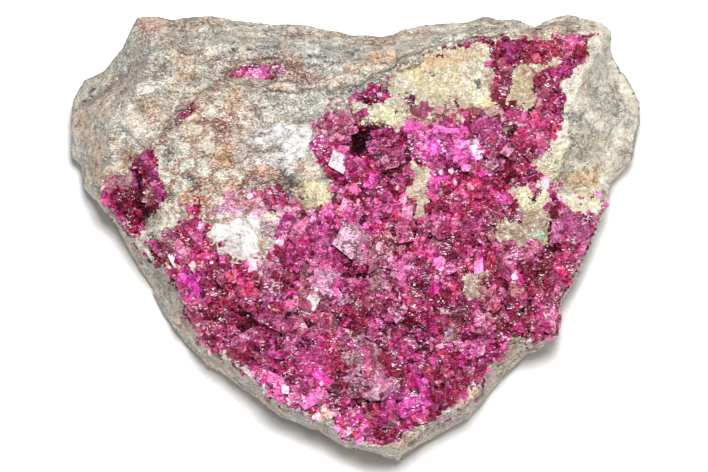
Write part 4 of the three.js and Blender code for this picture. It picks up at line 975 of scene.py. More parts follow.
@dataclass
class MatrixRock:
    """The broken slab of grey rock, with its sides and its flat back.

    Args:
        form: the slab's form.
        half_grid: half the number of cells across the face.
        crowding: power by which the cells crowd towards the edge, below 1.
        border_rings: how many of them lie in the sloping border.
        side_rows: rows of cells down the sides.
        painted_side_light: how much paler the broken sides are painted, as painted light where the lamps
            reach them little.
        sunk: how deep it lies under the crusts.
        bed: thickness of its thin beds.
    """

    form: SlabForm
    half_grid: int = 124
    crowding: float = 0.8
    border_rings: int = 24
    side_rows: int = 26
    painted_side_light: float = 1.25
    sunk: float = 2.2
    bed: float = 1.9

    RAGGED = ((0.5, 1.3, 51), (0.35, 0.5, 52))  # strength, width and seed of what frays the plates' edges
    PLATE_EDGE = (0.3, 0.8)  # how far outside its outline a plate's edge starts, and how wide it is
    CRUST_EDGE = (-0.5, 1.2)  # the same of the crusts' seat in the rock
    BED_DIP, BED_WAVE = 0.13, 1.4  # slope of the beds on the sheet, and how far they wave
    CHIPS = ((1.1, 6.5, 3), (0.55, 2.6, 5), (0.35, 1.2, 7))  # height, width and seed of each size
    GRIT = (0.25, 2.2, 9)  # and of the grit over them
    BED_HEIGHT, BED_RISE = 0.7, 0.35  # height of a bed's step, and the share of the bed that it takes
    CLOUDS = ((8, 21), (3.2, 22), (1.0, 28))  # width and seed of the wide, middle and fine mottles
    STREAK = (7, 0.7)  # length and thickness of the streaks
    BLOCK, JOINT = 4.4, 0.3  # width of the broken blocks, and of the joints between them
    BLOCK_SHADE, JOINT_SHADE = 0.34, 0.3  # how much the blocks' lightness varies, and how dark the joints are
    LOW_SHADE, LOW_WALL = 0.86, 16  # how dark the painted shade at the foot of the wall is, and up to where
    GREATEST_PUSH, SIDEWAYS = 0.75, (0.6, 0.6, 1.0)  # share of the relief on the face, and its direction
    SIDE_WAVE, LEAST_FACING = 1.6, 0.3  # waves of the sides, and how far a break must face a point to cut it
    GREY, WARM, COOL, PALE, SPECK = "#d2c3ad", "#d6b092", "#a4aeae", "#e2dccf", "#57514a"

    def sheet_grid(self) -> tuple[Array, Array]:
        """A square grid drawn out to the slab's edge.

        Formula: the square's point (a, b) goes to the disc at radius max(|a|, |b|) and to angle π/4 · b/a, or
        π/2 − π/4 · a/b where |b| is the larger, and the disc's radius is stretched so that the border has its
        rings.

        Returns:
            u and v of each point.
        """
        n = self.half_grid
        a, b = np.meshgrid(*[np.linspace(-1, 1, 2 * n + 1)] * 2, indexing="ij")
        wide = np.abs(a) > np.abs(b)
        radius = np.where(wide, a, b)
        other = np.where(wide, b, a) / np.where(radius == 0, 1, radius)
        angle = np.where(wide, np.pi / 4 * other, np.pi / 2 - np.pi / 4 * other)
        x, y = radius * np.cos(angle), radius * np.sin(angle)
        turn = np.arctan2(y, x)
        ring = np.hypot(x, y)
        edge, _, border = self.form.edge_at(turn)
        knee, inside = 1 - self.border_rings / n, 1 - border / edge
        within = (ring / knee) ** self.crowding * inside
        share = np.where(ring < knee, within, inside + (ring - knee) / (1 - knee) * (1 - inside))
        return np.cos(turn) * edge * share, np.sin(turn) * edge * share

    def height(self, u: Array, v: Array) -> Array:
        """Height of the rock: the face with its plates and groove, sunk under the crusts."""
        z = self.form.face_height(u, v)
        ragged = sum(strength * unevenness(u / size, v / size, seed) for strength, size, seed in self.RAGGED)
        outside, width = self.PLATE_EDGE
        for plate in (*PLATES, GROOVE):
            z = z + plate.rise * step((depth_in(plate.outline, u, v) + ragged + outside) / width)
        depth = np.max([depth_in(outline, u, v) for outline in DRUSES], 0) + fray(u, v, DRUSE_FRAY)
        outside, width = self.CRUST_EDGE
        return z - self.sunk * step((depth + outside) / width)

    def beds(self, points: Array, u: Array, v: Array) -> Array:
        """Distance across the rock's beds at points of the face, in mm: they run along the upper edge."""
        return v - self.BED_DIP * u + self.BED_WAVE * cloud(points, 14, 11, 2)

    def relief(self, points: Array, u: Array, v: Array) -> Array:
        """Roughness of the break, in mm: chips of three sizes, broad ones to the right, and thin beds above.

        The white cleavage face is smoother.
        """
        worn, broad = step((-30 - u) / 8) * step((v - 10) / 6), step((u - 36) / 4)
        large, medium, small = (height * chips(points, width, seed) for height, width, seed in self.CHIPS)
        total = (1 - 0.5 * worn) * (large + (1 - 0.5 * broad) * medium)
        height, width, seed = self.GRIT
        total += (1 - 0.6 * broad) * (small + height * cloud(points, width, seed))
        total *= 1 - 0.6 * np.exp(-(WHITE_FACE.reach(u, v) ** 2))
        bedded = step((v - 25 - 0.1 * np.abs(u - 2)) / 4) * step((u + 36) / 10)
        across = self.beds(points, u, v) / self.bed
        across -= np.floor(across)
        return total + self.BED_HEIGHT * bedded * (0.9 * step(across / self.BED_RISE) - across)

    def colours(self, points: Array, u: Array, v: Array, beds: Array) -> Array:
        """Linear colour of the rock at each point: mottled grey-beige, streaked along its beds, then stained.

        Last come the broken blocks with their own lightness, the dark joints between them, painted shade at
        the foot of the wall, and dark specks.
        """
        wide, mid, fine = (cloud(points, size, seed) for size, seed in self.CLOUDS)
        small = cells(points, 1.6, 23).chances[..., 0] - 0.5
        long, thin = self.STREAK
        streak = cloud(np.stack((points[:, 0] / long, points[:, 1] / long, beds / thin), -1), 1, 29)
        colours = linear(self.GREY) * np.exp(0.1 * wide + 0.08 * mid + 0.2 * small + 0.2 * streak)[:, None]
        colours = blended(colours, self.WARM, 0.8 * step((wide + 0.5 * mid) / 0.5 - 0.1))
        colours = blended(colours, self.COOL, 0.7 * step((-wide - 0.5 * mid) / 0.5 - 0.2))
        pale = step((cloud(points, 4.0, 24) + 0.5 * streak - 0.15) / 0.3)
        colours = blended(colours, self.PALE, 0.6 * pale)
        noise = 0.6 * cloud(points, 3.5, 25) + 0.4 * small + 0.4 * fine
        for stain in ROCK_STAINS:
            colours = stain.over(colours, u, v, noise)
        seam = step(1.15 - cells(points, 3.3, 27).border / 0.45 + 0.4 * mid + 0.5 * fine)
        for stain in SEAM_STAINS:
            colours = stain.over(colours, u, v, 2.4 * seam - 1.7)
        blocks = cells(points + 0.5 * mid[:, None], self.BLOCK, 31)
        joint = step(1 - blocks.border / self.JOINT) * step(cloud(points, 5, 32) / 0.4 + 0.4)
        lightness = self.BLOCK_SHADE * (blocks.chances[:, 0] - 0.5) - self.JOINT_SHADE * joint + 0.05
        # Painted shade: darker towards the table, up to LOW_WALL mm up the wall.
        wall = self.LOW_SHADE + (1 - self.LOW_SHADE) * step(points[:, 2:] / self.LOW_WALL)
        colours = np.minimum(colours * np.exp(lightness)[:, None] * wall, 1)
        dull = 1 - step((colours.mean(1) - 0.5) / 0.2)
        return blended(colours, self.SPECK, 0.45 * step((cloud(points, 1.1, 26, 2) - 0.65) / 0.2) * dull)

    def side(self, rim: Array, share: float, inset: float) -> Array:
        """A row of the broken side, as in the CAD part.

        Args:
            rim: points of the slab's edge.
            share: the row's height as a share of the edge's.
            inset: how far the row lies in from the edge.

        Returns:
            The row's points.
        """
        z = rim[:, 2] * share
        angle, out = np.arctan2(rim[:, 1], rim[:, 0]), np.hypot(rim[:, 0], rim[:, 1])
        radius = out - inset + self.SIDE_WAVE * unevenness(angle * 9, z / 6, 95) * (1 - share)
        for facing, distance, lean in BREAKS:
            towards = np.cos(angle - math.radians(facing))
            flat = (distance + z * math.tan(math.radians(lean))) / np.maximum(towards, self.LEAST_FACING)
            radius = np.where(towards > self.LEAST_FACING, np.minimum(radius, flat), radius)
        return np.stack((np.cos(angle) * radius, np.sin(angle) * radius, z), -1)

    @staticmethod
    def strip(above: Array, here: Array) -> Array:
        """Faces between two closed rows of points, facing outward."""
        return np.stack((above, np.roll(above, -1), np.roll(here, -1), here), -1)[:, ::-1]

    def build(self) -> bpy.types.Object:
        """Builds the rock as one closed mesh: the face, the rows of the side, and the flat back."""
        u, v = self.sheet_grid()
        base = self.form.place(u, v, self.height(u, v))
        normal = unit(np.cross(np.gradient(base, axis=0), np.gradient(base, axis=1)))
        size = u.shape[0]
        flat_u, flat_v, flat = u.ravel(), v.ravel(), base.reshape(-1, 3)
        lift = self.relief(flat, flat_u, flat_v)
        calm = step((self.form.edge_room(flat_u, flat_v) + 0.3) / 1.5)
        beds = self.beds(flat, flat_u, flat_v)
        tint = self.colours(flat, flat_u, flat_v, beds)
        # Painted shade in the relief's low places and painted highlight on its ridges; pale tints take less
        # of it.
        clean = 0.6 * step((tint.mean(1, keepdims=True) - 0.5) / 0.2)
        tint = tint * painted_hollow_shade(lift.reshape(u.shape), 3).reshape(-1, 1) ** (1 - clean)
        push = unit(normal.reshape(-1, 3) * np.array(self.SIDEWAYS))
        face = flat + push * (self.GREATEST_PUSH * lift * (0.3 + 0.7 * calm))[:, None]
        number = np.arange(size * size).reshape(size, size)
        quads = [squares(number).reshape(-1, 4)]
        loop = np.concatenate((number[0, :-1], number[:-1, -1], number[-1, :0:-1], number[:0:-1, 0]))[::-1]
        rim = face[loop]
        rows, tints = [face], [tint]
        rim_u, rim_v = flat_u[loop], flat_v[loop]
        above, start = loop, len(face)
        for row in range(1, self.side_rows + 1):
            share = 1 - row / self.side_rows * 0.97
            side = self.side(rim, share, float(np.interp(share, SIDE_SHARES, SIDE_INSETS)))
            out = unit(side * np.array([1, 1, 0]))
            amount = step((1 - share) / 0.15)
            side = side + out * ((self.relief(side, rim_u, rim_v) * 0.9 - 0.3) * amount)[:, None]
            rows.append(side)
            # The sides are painted paler than the face: painted light where the lamps reach them little.
            tints.append(self.colours(side, rim_u, rim_v, side[:, 2] + beds[loop]) * self.painted_side_light)
            here = np.arange(start, start + len(loop))
            quads.append(self.strip(above, here))
            above, start = here, start + len(loop)
        x, y = rows[-1][:, 0], rows[-1][:, 1]
        length = np.hypot(x, y)
        wave = unevenness(np.arctan2(y, x) * 2.5, 0 * length, 96) + 0.5
        least, greatest = FLAT_BACK_INSET
        inward = (length - least - (greatest - least) * wave + SIDE_INSETS[1]) / length
        here = np.arange(start, start + len(loop))
        quads.append(self.strip(above, here))
        middle = np.full(len(loop), start + len(loop))
        fan = np.stack((here, np.roll(here, -1), middle), -1)[:, ::-1]
        points = np.concatenate((*rows, np.stack((x * inward, y * inward, 0 * length), -1), np.zeros((1, 3))))
        colours = np.concatenate((*tints, tints[-1], tints[-1][:1]))
        return new_mesh("rock", points, [np.concatenate(quads), fan], colours, True)


@dataclass
class Ground:
    """The surface of a crust under its loose crystals, with the blocky crystals that make its relief.

    Args:
        form: the slab's form.
        rise: height of the crust above the rock.
        block: width of the blocky crystals.
        relief: height between them.
        seed: picks another pattern.
        buried: larger crystals under its coat.
    """

    form: SlabForm
    rise: float
    block: float
    relief: float
    seed: int
    buried: "Crystals | None" = None

    LEDGE = (1.5, 2.5)  # how far the ledge looks inward, and how deep it may lie under the face there
    BLOCKS = ((1.0, 1.0, 0), (0.42, 0.45, 40))  # width, height and seed of the blocks, against the ground's

    def base(self, u: Array, v: Array) -> Array:
        """Height of the rock under the crust, whose rim hangs over the slab's steep edge as a ledge.

        Formula: the face's height, but at most 2.5 mm under the face 1.5 mm nearer to the middle.
        """
        reach, drop = self.LEDGE
        inward = 1 - reach / np.maximum(np.hypot(u, v), reach)
        return np.maximum(self.form.face_height(u, v), self.form.face_height(u * inward, v * inward) - drop)

    def height(self, u: Array, v: Array) -> Array:
        """Height of the ground: its base, raised, each block at its own level and slope, seams between them.

        Crystals that are buried in the ground lift it to their upper faces.
        """
        base = self.base(u, v)
        z = base + self.rise
        for width, strength, extra in self.BLOCKS:
            size = width * self.block
            found = cells(on_sheet(u, v), size, self.seed + extra)
            slope = (found.chances - 0.5) * 1.3
            tilt = (slope * found.offset / size)[..., :2].sum(-1)
            seam = 1 - step(found.border / (0.16 * size))
            z = z + self.relief * strength * (tilt + 0.9 * (found.chances[..., 2] - 0.45) - 0.45 * seam)
        room = np.clip(self.form.edge_room(u, v) / 2.5, 0.15, 1)
        z = base + (z - base) * room
        return z if self.buried is None else np.maximum(z, self.buried.tops(u, v))

    def normal(self, u: Array, v: Array) -> Array:
        """Outward direction of the ground at points of the sheet."""
        d = 0.35
        here = self.form.place(u, v, self.height(u, v))
        right = self.form.place(u + d, v, self.height(u + d, v))
        up = self.form.place(u, v + d, self.height(u, v + d))
        return unit(np.cross(right - here, up - here))


@dataclass
class Crystals:
    """Many rhombs with flat faces.

    Args:
        centre: middles in mm, shape (N, 3).
        normal: outward direction at each.
        edge: length of their edges.
        turn: turn about the normal, in radians.
        lean: lean away from the normal, in radians.
        towards: direction of the lean, in radians.
        long: how much longer than wide each is.
        tint: linear colour of each, shape (N, 3).
    """

    centre: Array
    normal: Array
    edge: Array
    turn: Array
    lean: Array
    towards: Array
    long: Array
    tint: Array

    CORNERS = np.array(list(np.ndindex(2, 2, 2))) - 0.5
    SIDES = np.array([[0, 1, 3, 2], [4, 6, 7, 5], [0, 4, 5, 1], [2, 3, 7, 6], [0, 2, 6, 4], [1, 5, 7, 3]])
    NOWHERE = -99.0  # height over points without a rhomb
    WIDEST = 8  # farther from its middle than any rhomb reaches

    @staticmethod
    def rhomb() -> Array:
        """The three edges of a cleavage rhomb of edge 1, one face level, as columns."""
        c, s = math.cos(RHOMB_ANGLE), math.sin(RHOMB_ANGLE)
        across = (c - c * c) / s
        return np.array([[1, c, c], [0, s, across], [0, 0, math.sqrt(1 - c * c - across * across)]])

    def axes(self) -> Array:
        """The rhombs' edges as columns of matrices, shape (N, 3, 3).

        Formula: ground frame · lean · turn · rhomb, with the lean about an axis that lies in the ground.
        """
        x = unit(np.array([1.0, 0, 0]) - self.normal[:, :1] * self.normal)
        ground = np.stack((x, np.cross(self.normal, x), self.normal), -1)
        ct, st = np.cos(self.towards), np.sin(self.towards)
        axis = np.stack((-st, ct, 0 * ct), -1)
        cross = np.zeros((len(axis), 3, 3))
        cross[:, 0, 1], cross[:, 0, 2], cross[:, 1, 2] = -axis[:, 2], axis[:, 1], -axis[:, 0]
        cross -= cross.transpose(0, 2, 1)
        sine, cosine = np.sin(self.lean)[:, None, None], np.cos(self.lean)[:, None, None]
        tip = np.eye(3) + sine * cross + (1 - cosine) * (cross @ cross)
        c, s, o = np.cos(self.turn), np.sin(self.turn), 0 * self.turn
        spin = np.stack((np.stack((c, -s, o), -1), np.stack((s, c, o), -1), np.stack((o, o, o + 1), -1)), 1)
        shape = self.rhomb() * self.edge[:, None, None]
        shape[:, :, 0] *= self.long[:, None]
        return ground @ tip @ spin @ shape

    def tops(self, u: Array, v: Array) -> Array:
        """Height of the highest rhomb's upper side over points of the sheet, very low where there is none.

        Formula: along the line of sight z is the least of a rhomb's three near planes, if that lies above the
        greatest of its three far planes.
        """
        sight = np.array([0, -math.tan(FACE_LEAN), 1])
        faces = np.linalg.inv(self.axes())
        start = SlabForm.place(u.ravel(), v.ravel(), 0 * u.ravel())
        best = np.full(u.size, self.NOWHERE)
        for centre, rows in zip(self.centre, faces):
            near = np.flatnonzero(np.abs(start + sight * centre[2] - centre)[:, :2].max(1) < self.WIDEST)
            along = rows @ sight
            across = (start[near] - centre) @ rows.T
            ends = np.sort(np.stack(((-0.5 - across) / along, (0.5 - across) / along)), 0)
            enter, leave = ends[0].max(1), ends[1].min(1)
            best[near] = np.where(leave > enter, np.maximum(best[near], leave), best[near])
        return best.reshape(u.shape)

    def mesh(self) -> tuple[Array, Array, Array]:
        """Vertices, faces and tints of all the rhombs together."""
        points = self.centre[:, None, :] + np.einsum("nij,kj->nki", self.axes(), self.CORNERS)
        faces = self.SIDES[None] + 8 * np.arange(len(self.centre))[:, None, None]
        return points.reshape(-1, 3), faces.reshape(-1, 4), np.repeat(self.tint, 8, 0)


@dataclass
class Layer:
    """One size of crystal strewn over a crust.

    Args:
        pitch: mean distance between them.
        edges: shortest and longest edge.
        sunk: share of the edge by which their middles stand above the ground.
        lean: greatest lean, in degrees.
        long: greatest length over width.
        colony: width of the patches inside which crystals grow alike.
    """

    pitch: float
    edges: tuple[float, float]
    sunk: float
    lean: float
    long: float
    colony: float


@dataclass
class Palette:
    """Colours of a crust: a base, what single crystals vary to, and stains on top.

    Args:
        base: hex.
        variants: pairs of hex colour and share of the colonies that have it.
        stains: patches laid over them.
        contrast: spread of lightness between crystals.
        low: hex colour of the painted shade that low places tend to.
        high: hex colour of the painted highlight that ridges tend to.
    """

    base: str
    variants: tuple[tuple[str, float], ...]
    stains: tuple[Stain, ...]
    contrast: float
    low: str
    high: str

    BLEND = 0.04  # how soft the choice between variants is
    VARIED = 0.85  # how far a variant goes
    MOST_LOW, MOST_HIGH = 0.8, 0.6  # how far low places go to their painted shade colour, and ridges to their painted highlight colour

    def tints(self, u: Array, v: Array, colony: Array, own: Array, above: Array) -> Array:
        """Linear colour of crystals at points of the sheet.

        Formula: a lighter crystal has its colour times exp(light), a darker one its colour to the power
        exp(−light), which deepens it as a thicker glass would.

        Args:
            u, v: the points.
            colony: three random numbers of each one's colony.
            own: three random numbers of its own.
            above: how far each stands above the ground around it, in mm, which sets its painted shade when
                low and painted highlight when high.

        Returns:
            Shape (N, 3).
        """
        flat = on_sheet(u, v)
        colours = np.tile(linear(self.base), (len(u), 1))
        pick = (0.8 * colony[:, 0] + 0.2 * own[:, 0] - 0.1) / 0.8
        low = 0.0
        for colour, share in self.variants:
            chosen = step((pick - low) / self.BLEND) * (1 - step((pick - low - share) / self.BLEND))
            colours = blended(colours, colour, self.VARIED * chosen)
            low += share
        noise = 0.6 * cloud(flat, 4, 31) + 0.9 * (own[:, 1] - 0.5)
        for stain in self.stains:
            colours = stain.over(colours, u, v, noise)
        # Painted shade on ground and crystals that sit low, painted highlight on those that stand high.
        colours = blended(colours, self.low, self.MOST_LOW * step((-above - 0.1) / 1.2))
        colours = blended(colours, self.high, self.MOST_HIGH * step((above - 0.1) / 1.4))
        light = 0.8 * (colony[:, 1] - 0.5) + 0.9 * (own[:, 2] - 0.5) + 0.5 * cloud(flat, 7, 33)
        light = self.contrast * light[:, None]
        return colours ** np.exp(-np.minimum(light, 0)) * np.exp(np.maximum(light, 0))


# In each palette the last two colours are painted shade for low places and painted highlight for ridges.
MAGENTA_PALETTE = Palette(
    "#ba2064",
    (
        ("#84062e", 0.2), ("#ac1c3a", 0.18), ("#c2288c", 0.2), ("#dc66b4", 0.12), ("#f2cade", 0.09),
        ("#c9ae9c", 0.05),
    ),
    DRUSE_STAINS, 1.2, "#440018", "#ea7cb4",
)  # fmt: skip
POCKET_PALETTE = Palette(
    "#9c0a44", (("#78002a", 0.3), ("#b41c5e", 0.3), ("#d85cae", 0.05)),
    POCKET_STAINS, 0.7, "#480018", "#d84a9c",
)  # fmt: skip
CREAM_PALETTE = Palette(
    "#d8cdb8", (("#efe7d6", 0.24), ("#c6b59a", 0.2), ("#e0cca2", 0.1), ("#a8917a", 0.1), ("#d8ac9e", 0.06)),
    CREAM_STAINS, 0.28, "#a89078", "#f8f2e2",
)  # fmt: skip


@dataclass
class Crust:
    """A crust that grew on the rock: its ground and the crystals on it.

    Args:
        name: the piece's name.
        outline: its edge on the sheet.
        ground: its surface.
        palette: its colours.
        layers: the sizes of crystal strewn over it.
        cell: distance between the ground's points.
        keep_off: outlines that its crystals stay out of.
        seed: picks another pattern.
        depth: how deep it reaches into the rock.
        shade: how dark the ground is painted beside its crystals, as painted shade between them.
        frayed: how far its edge wanders.
    """

    name: str
    outline: tuple[tuple[float, float], ...]
    ground: Ground
    palette: Palette
    layers: tuple[Layer, ...]
    cell: float
    keep_off: tuple[tuple[tuple[float, float], ...], ...] = ()
    seed: int = 1
    depth: float = 2.6
    shade: float = 0.42
    frayed: float = DRUSE_FRAY

    JITTER = 0.45  # how far a crystal may lie from its point of the grid, in pitches
    FARTHEST_STRAY = 2.0  # how far outside the outline the last crystals grow
    EDGE_ROOM = 0.35  # how near to the slab's edge

    def traits(self, u: Array, v: Array, colony: float, seed: int) -> tuple[Array, Array]:
        """Random numbers of each point's colony, and of its own."""
        own = hashed(np.floor(np.stack((u * 977, v * 977, 0 * u + seed), -1)), seed)
        return cells(on_sheet(u, v), colony, self.seed + seed).chances, own

    def above(self, u: Array, v: Array) -> Array:
        """How far the ground stands above its mean on a ring about it, in mm."""
        turns = np.arange(6) * np.pi / 3
        ring = [self.ground.height(u + 1.5 * np.cos(t), v + 1.5 * np.sin(t)) for t in turns]
        return self.ground.height(u, v) - sum(ring) / len(ring)

    def spans(self, margin: float, pitch: float) -> list[Array]:
        """Even steps along u and along v that cover the outline and a margin."""
        corners = np.asarray(self.outline)
        return [np.arange(a, b, pitch) for a, b in zip(corners.min(0) - margin, corners.max(0) + margin)]

    def shell(self) -> tuple[Array, list[Array], Array]:
        """The ground as a closed sheet: its top, its underside in the rock, and the edge between them.

        Formula: the squares of a grid whose corners all lie inside the frayed outline.
        """
        u, v = np.meshgrid(*self.spans(2, self.cell), indexing="ij")
        room = self.ground.form.edge_room(u, v)
        inside = depth_in(self.outline, u, v) + np.where(room > 2.5, fray(u, v, self.frayed), 0) > -0.1
        keep = squares(inside).all(-1)
        around = squares(np.arange(u.size).reshape(u.shape))
        top = around[keep]
        padded = np.pad(keep, 1)
        edges = []
        for side, (i, j) in enumerate(((1, 0), (2, 1), (1, 2), (0, 1))):
            open_side = keep & ~padded[i : i + keep.shape[0], j : j + keep.shape[1]]
            edges.append(around[open_side][:, [side, (side + 1) % 4]])
        edge = np.concatenate(edges)
        used = np.unique(top)
        compact = np.full(u.size, -1)
        compact[used] = np.arange(len(used))
        su, sv = u.ravel()[used], v.ravel()[used]
        tops = self.ground.form.place(su, sv, self.ground.height(su, sv))
        under = self.ground.form.place(su, sv, self.ground.base(su, sv) - self.depth)
        top, edge = compact[top], compact[edge]
        count = len(used)
        walls = np.stack((edge[:, 1], edge[:, 0], edge[:, 0] + count, edge[:, 1] + count), -1)
        traits = self.traits(su, sv, self.ground.block, 5)
        # Painted shade: the ground between the crystals is deepened and darkened.
        tint = self.palette.tints(su, sv, *traits, self.above(su, sv)) ** (2 - self.shade) * self.shade
        return np.concatenate((tops, under)), [top, top[:, ::-1] + count, walls], np.concatenate((tint, tint))

    def strewn(self, layer: Layer, seed: int) -> Crystals:
        """One size of crystal over the whole crust, each near a point of a grid and grown like its colony."""
        rng = np.random.default_rng(self.seed * 100 + seed)
        u, v = (
            g.ravel() + layer.pitch * rng.uniform(-self.JITTER, self.JITTER, g.size)
            for g in np.meshgrid(*self.spans(1, layer.pitch))
        )
        depth = depth_in(self.outline, u, v) + fray(u, v, self.frayed)
        stray = self.FARTHEST_STRAY * rng.random(u.size) ** 4
        inside = (depth > 0.1 - stray) & (self.ground.form.edge_room(u, v) > self.EDGE_ROOM)
        for hole in HOLES:
            inside &= hole.reach(u, v) > 1
        for patch in self.keep_off:
            inside &= depth_in(patch, u, v) + fray(u, v, CREAM_FRAY) < 0.6 * stray
        u, v, depth = u[inside], v[inside], depth[inside]
        colony, own = self.traits(u, v, layer.colony, seed)
        shape = rng.random((5, u.size))
        edge = layer.edges[0] + (layer.edges[1] - layer.edges[0]) * shape[0] ** 2
        edge = edge * np.clip((self.ground.form.edge_room(u, v) + 0.4) / 2.2, 0.35, 1)
        edge = np.minimum(edge, 0.9 + 0.6 * np.maximum(depth, 0))
        drop = (self.ground.rise + 0.3) * (1 - step((depth + 0.4) / 0.8))
        drop += (self.ground.base(u, v) - self.ground.form.face_height(u, v)) * (depth < -0.1)
        centre = self.ground.form.place(u, v, self.ground.height(u, v) - drop)
        normal = self.ground.normal(u, v)
        centre += normal * (layer.sunk * edge)[:, None]
        lean = math.radians(layer.lean)
        return Crystals(
            centre,
            normal,
            edge,
            2 * np.pi * (colony[:, 0] + 0.06 * (shape[1] - 0.5)),
            lean * np.sqrt(0.75 * colony[:, 1] + 0.25 * shape[2]),
            2 * np.pi * (colony[:, 2] + 0.08 * (shape[3] - 0.5)),
            1 + (layer.long - 1) * shape[4] ** 1.5 * np.clip(depth / 3, 0.1, 1),
            self.palette.tints(u, v, colony, own, self.above(u, v)),
        )

    def build(self, extra: tuple[Crystals, ...] = ()) -> list[bpy.types.Object]:
        """Builds the ground with the extra crystals as one piece, and each layer of crystals as another."""
        points, faces, tint = self.shell()
        for crystals in extra:
            more, quads, colours = crystals.mesh()
            faces.append(quads + len(points))
            points, tint = np.concatenate((points, more)), np.concatenate((tint, colours))
        made = [new_mesh(self.name, points, faces, tint)]
        for n, layer in enumerate(self.layers):
            points, quads, tint = self.strewn(layer, 11 + n).mesh()
            made.append(new_mesh(f"{self.name}_crystals_{n + 1}", points, [quads], tint))
        return made


@dataclass(frozen=True)
class Standout:
    """A single crystal that stands out of the druse.

    Args:
        u, v: its place.
        edge: length of its edges.
        turn: turn about the sheet's normal, in degrees.
        lean: lean away from the normal, in degrees.
        towards: direction of the lean, in degrees.
        long: how much longer than wide it is.
        colour: hex.
    """

    u: float
    v: float
    edge: float
    turn: float
    lean: float
    towards: float
    long: float
    colour: str


def standouts(*rows: tuple) -> tuple[Standout, ...]:
    """Single crystals from rows of their values."""
    return tuple(Standout(*row) for row in rows)


STANDOUTS = standouts(
    (-0.6, -0.8, 4.4, -38, 8, 200, 1, "#eec8dc"), (-5.4, -8.2, 3.7, -30, 12, 240, 1, "#f2b8da"),
    (-2.8, 13.3, 3.1, -30, 6, 60, 1, "#fdeef5"), (-8, -12.2, 2.3, 60, 22, 200, 1.5, "#fbf4f2"),
    (-5.9, -2.2, 2.6, 78, 35, 190, 2.1, "#d86cb0"), (-12.7, 1.6, 2.4, 60, 38, 200, 2, "#c83c96"),
    (-5.9, 15.3, 2.2, -60, 34, 210, 2.2, "#d4429a"), (10.6, -30.8, 3.3, 25, 30, 120, 1.8, "#e048b4"),
    (5.8, -27.6, 2.5, 38, 46, 120, 2.3, "#e094b8"), (-15.8, -10, 3, 70, 42, 250, 1.5, "#d07098"),
    (-7.4, -22.8, 3.8, 20, 26, 280, 1.3, "#cf4690"), (36.9, 1.8, 2.6, 84, 40, 170, 2.4, "#de76b0"),
    (40, 1.5, 3.3, 30, 30, 330, 1.1, "#bc5290"),
)  # fmt: skip
POCKET_STANDOUTS = standouts(
    (-13.5, 29.8, 1.9, 18, 20, 120, 1, "#efc4dc"), (-18.6, 29.6, 2.4, 8, 24, 250, 1.9, "#f27cca"),
    (-16.4, 30.4, 1.7, 50, 30, 200, 1.4, "#d83c98"), (-21, 29.4, 1.8, 70, 30, 160, 1.3, "#c02c70"),
)  # fmt: skip


def standing(form: SlabForm, ones: tuple[Standout, ...]) -> Crystals:
    """Single crystals as they stand on the slab.

    Args:
        form: the slab's form.
        ones: the crystals.

    Returns:
        The same as rhombs in place.
    """
    u, v, edge, *angles, long = np.array([astuple(one)[:-1] for one in ones]).T
    z = form.face_height(u, v) + DRUSE_RISE + STANDOUT_LIFT * edge
    normal = np.tile(SHEET_NORMAL, (len(u), 1))
    tint = np.array([linear(one.colour) for one in ones])
    return Crystals(form.place(u, v, z), normal, edge, *np.radians(angles), long, tint)


@dataclass
class MagentaDruse:
    """The main crust of magenta crystals.

    Args:
        form: the slab's form.
        pitch: mean distance between its larger crystals, as in the CAD part.
        edges: shortest and longest edge of those.
        margin: how far inside the outline they keep.
        jitter: how far they may lie from an even grid, in pitches.
        lean: greatest lean, in degrees.
        long: greatest length over width.
        seed: their seed in the CAD part.
        layers: the sizes of small crystals.
    """

    form: SlabForm
    pitch: float = 6.5
    edges: tuple[float, float] = (2.6, 4.4)
    margin: float = 0.8
    jitter: float = 0.8
    lean: float = 68
    long: float = 1.8
    seed: int = 10
    layers: tuple[Layer, ...] = (
        Layer(1.6, (0.8, 2.1), 0.05, 62, 3.0, 3.2),
        Layer(0.7, (0.4, 1.0), 0.08, 76, 3.0, 2.0),
    )

    def larger(self, palette: Palette) -> Crystals:
        """The larger crystals where the CAD part has them, and in its sizes."""
        steps = math.ceil(60 / self.pitch)
        i, j = (g.ravel() for g in np.meshgrid(*[np.arange(-steps, steps + 1.0)] * 2, indexing="ij"))
        moves = (self.jitter * (chance(i, j, self.seed + n) - 0.5) for n in (0, 1))
        u, v = ((at + move) * self.pitch for at, move in zip((i, j), moves))
        inside = depth_in(grown(MAIN_DRUSE, -self.margin), u, v) > 0
        for patch in CREAM_PATCHES:
            inside &= depth_in(grown(patch, self.margin), u, v) < 0
        i, j, u, v = i[inside], j[inside], u[inside], v[inside]
        draw = [chance(i, j, self.seed + n) for n in range(7)]
        edge = self.edges[0] + (self.edges[1] - self.edges[0]) * draw[2] ** 2
        z = self.form.face_height(u, v) + DRUSE_RISE + 0.02 * edge
        turn, lean = 2 * np.pi * draw[3], math.radians(self.lean) * np.sqrt(draw[4])
        towards, long = 2 * np.pi * draw[5], 1 + (self.long - 1) * draw[6] ** 2
        tint = palette.tints(u, v, np.stack(draw[3:6], -1), np.stack(draw[4:7], -1), 0 * u)
        edge = edge * np.clip((self.form.edge_room(u, v) + 0.6) / 4, 0.25, 1)
        normal = np.tile(SHEET_NORMAL, (len(u), 1))
        return Crystals(self.form.place(u, v, z), normal, edge, turn, lean, towards, long, tint)

    def build(self) -> list[bpy.types.Object]:
        """Builds the crust with its larger crystals, and its layers of small ones."""
        ground = Ground(self.form, DRUSE_RISE, 3.4, 1.6, 71, self.larger(MAGENTA_PALETTE))
        crust = Crust(
            "magenta_crust", MAIN_DRUSE, ground, MAGENTA_PALETTE, self.layers, Face.CRUST.value,
            CREAM_PATCHES, seed=3,
        )  # fmt: skip
        return crust.build((standing(self.form, STANDOUTS),))


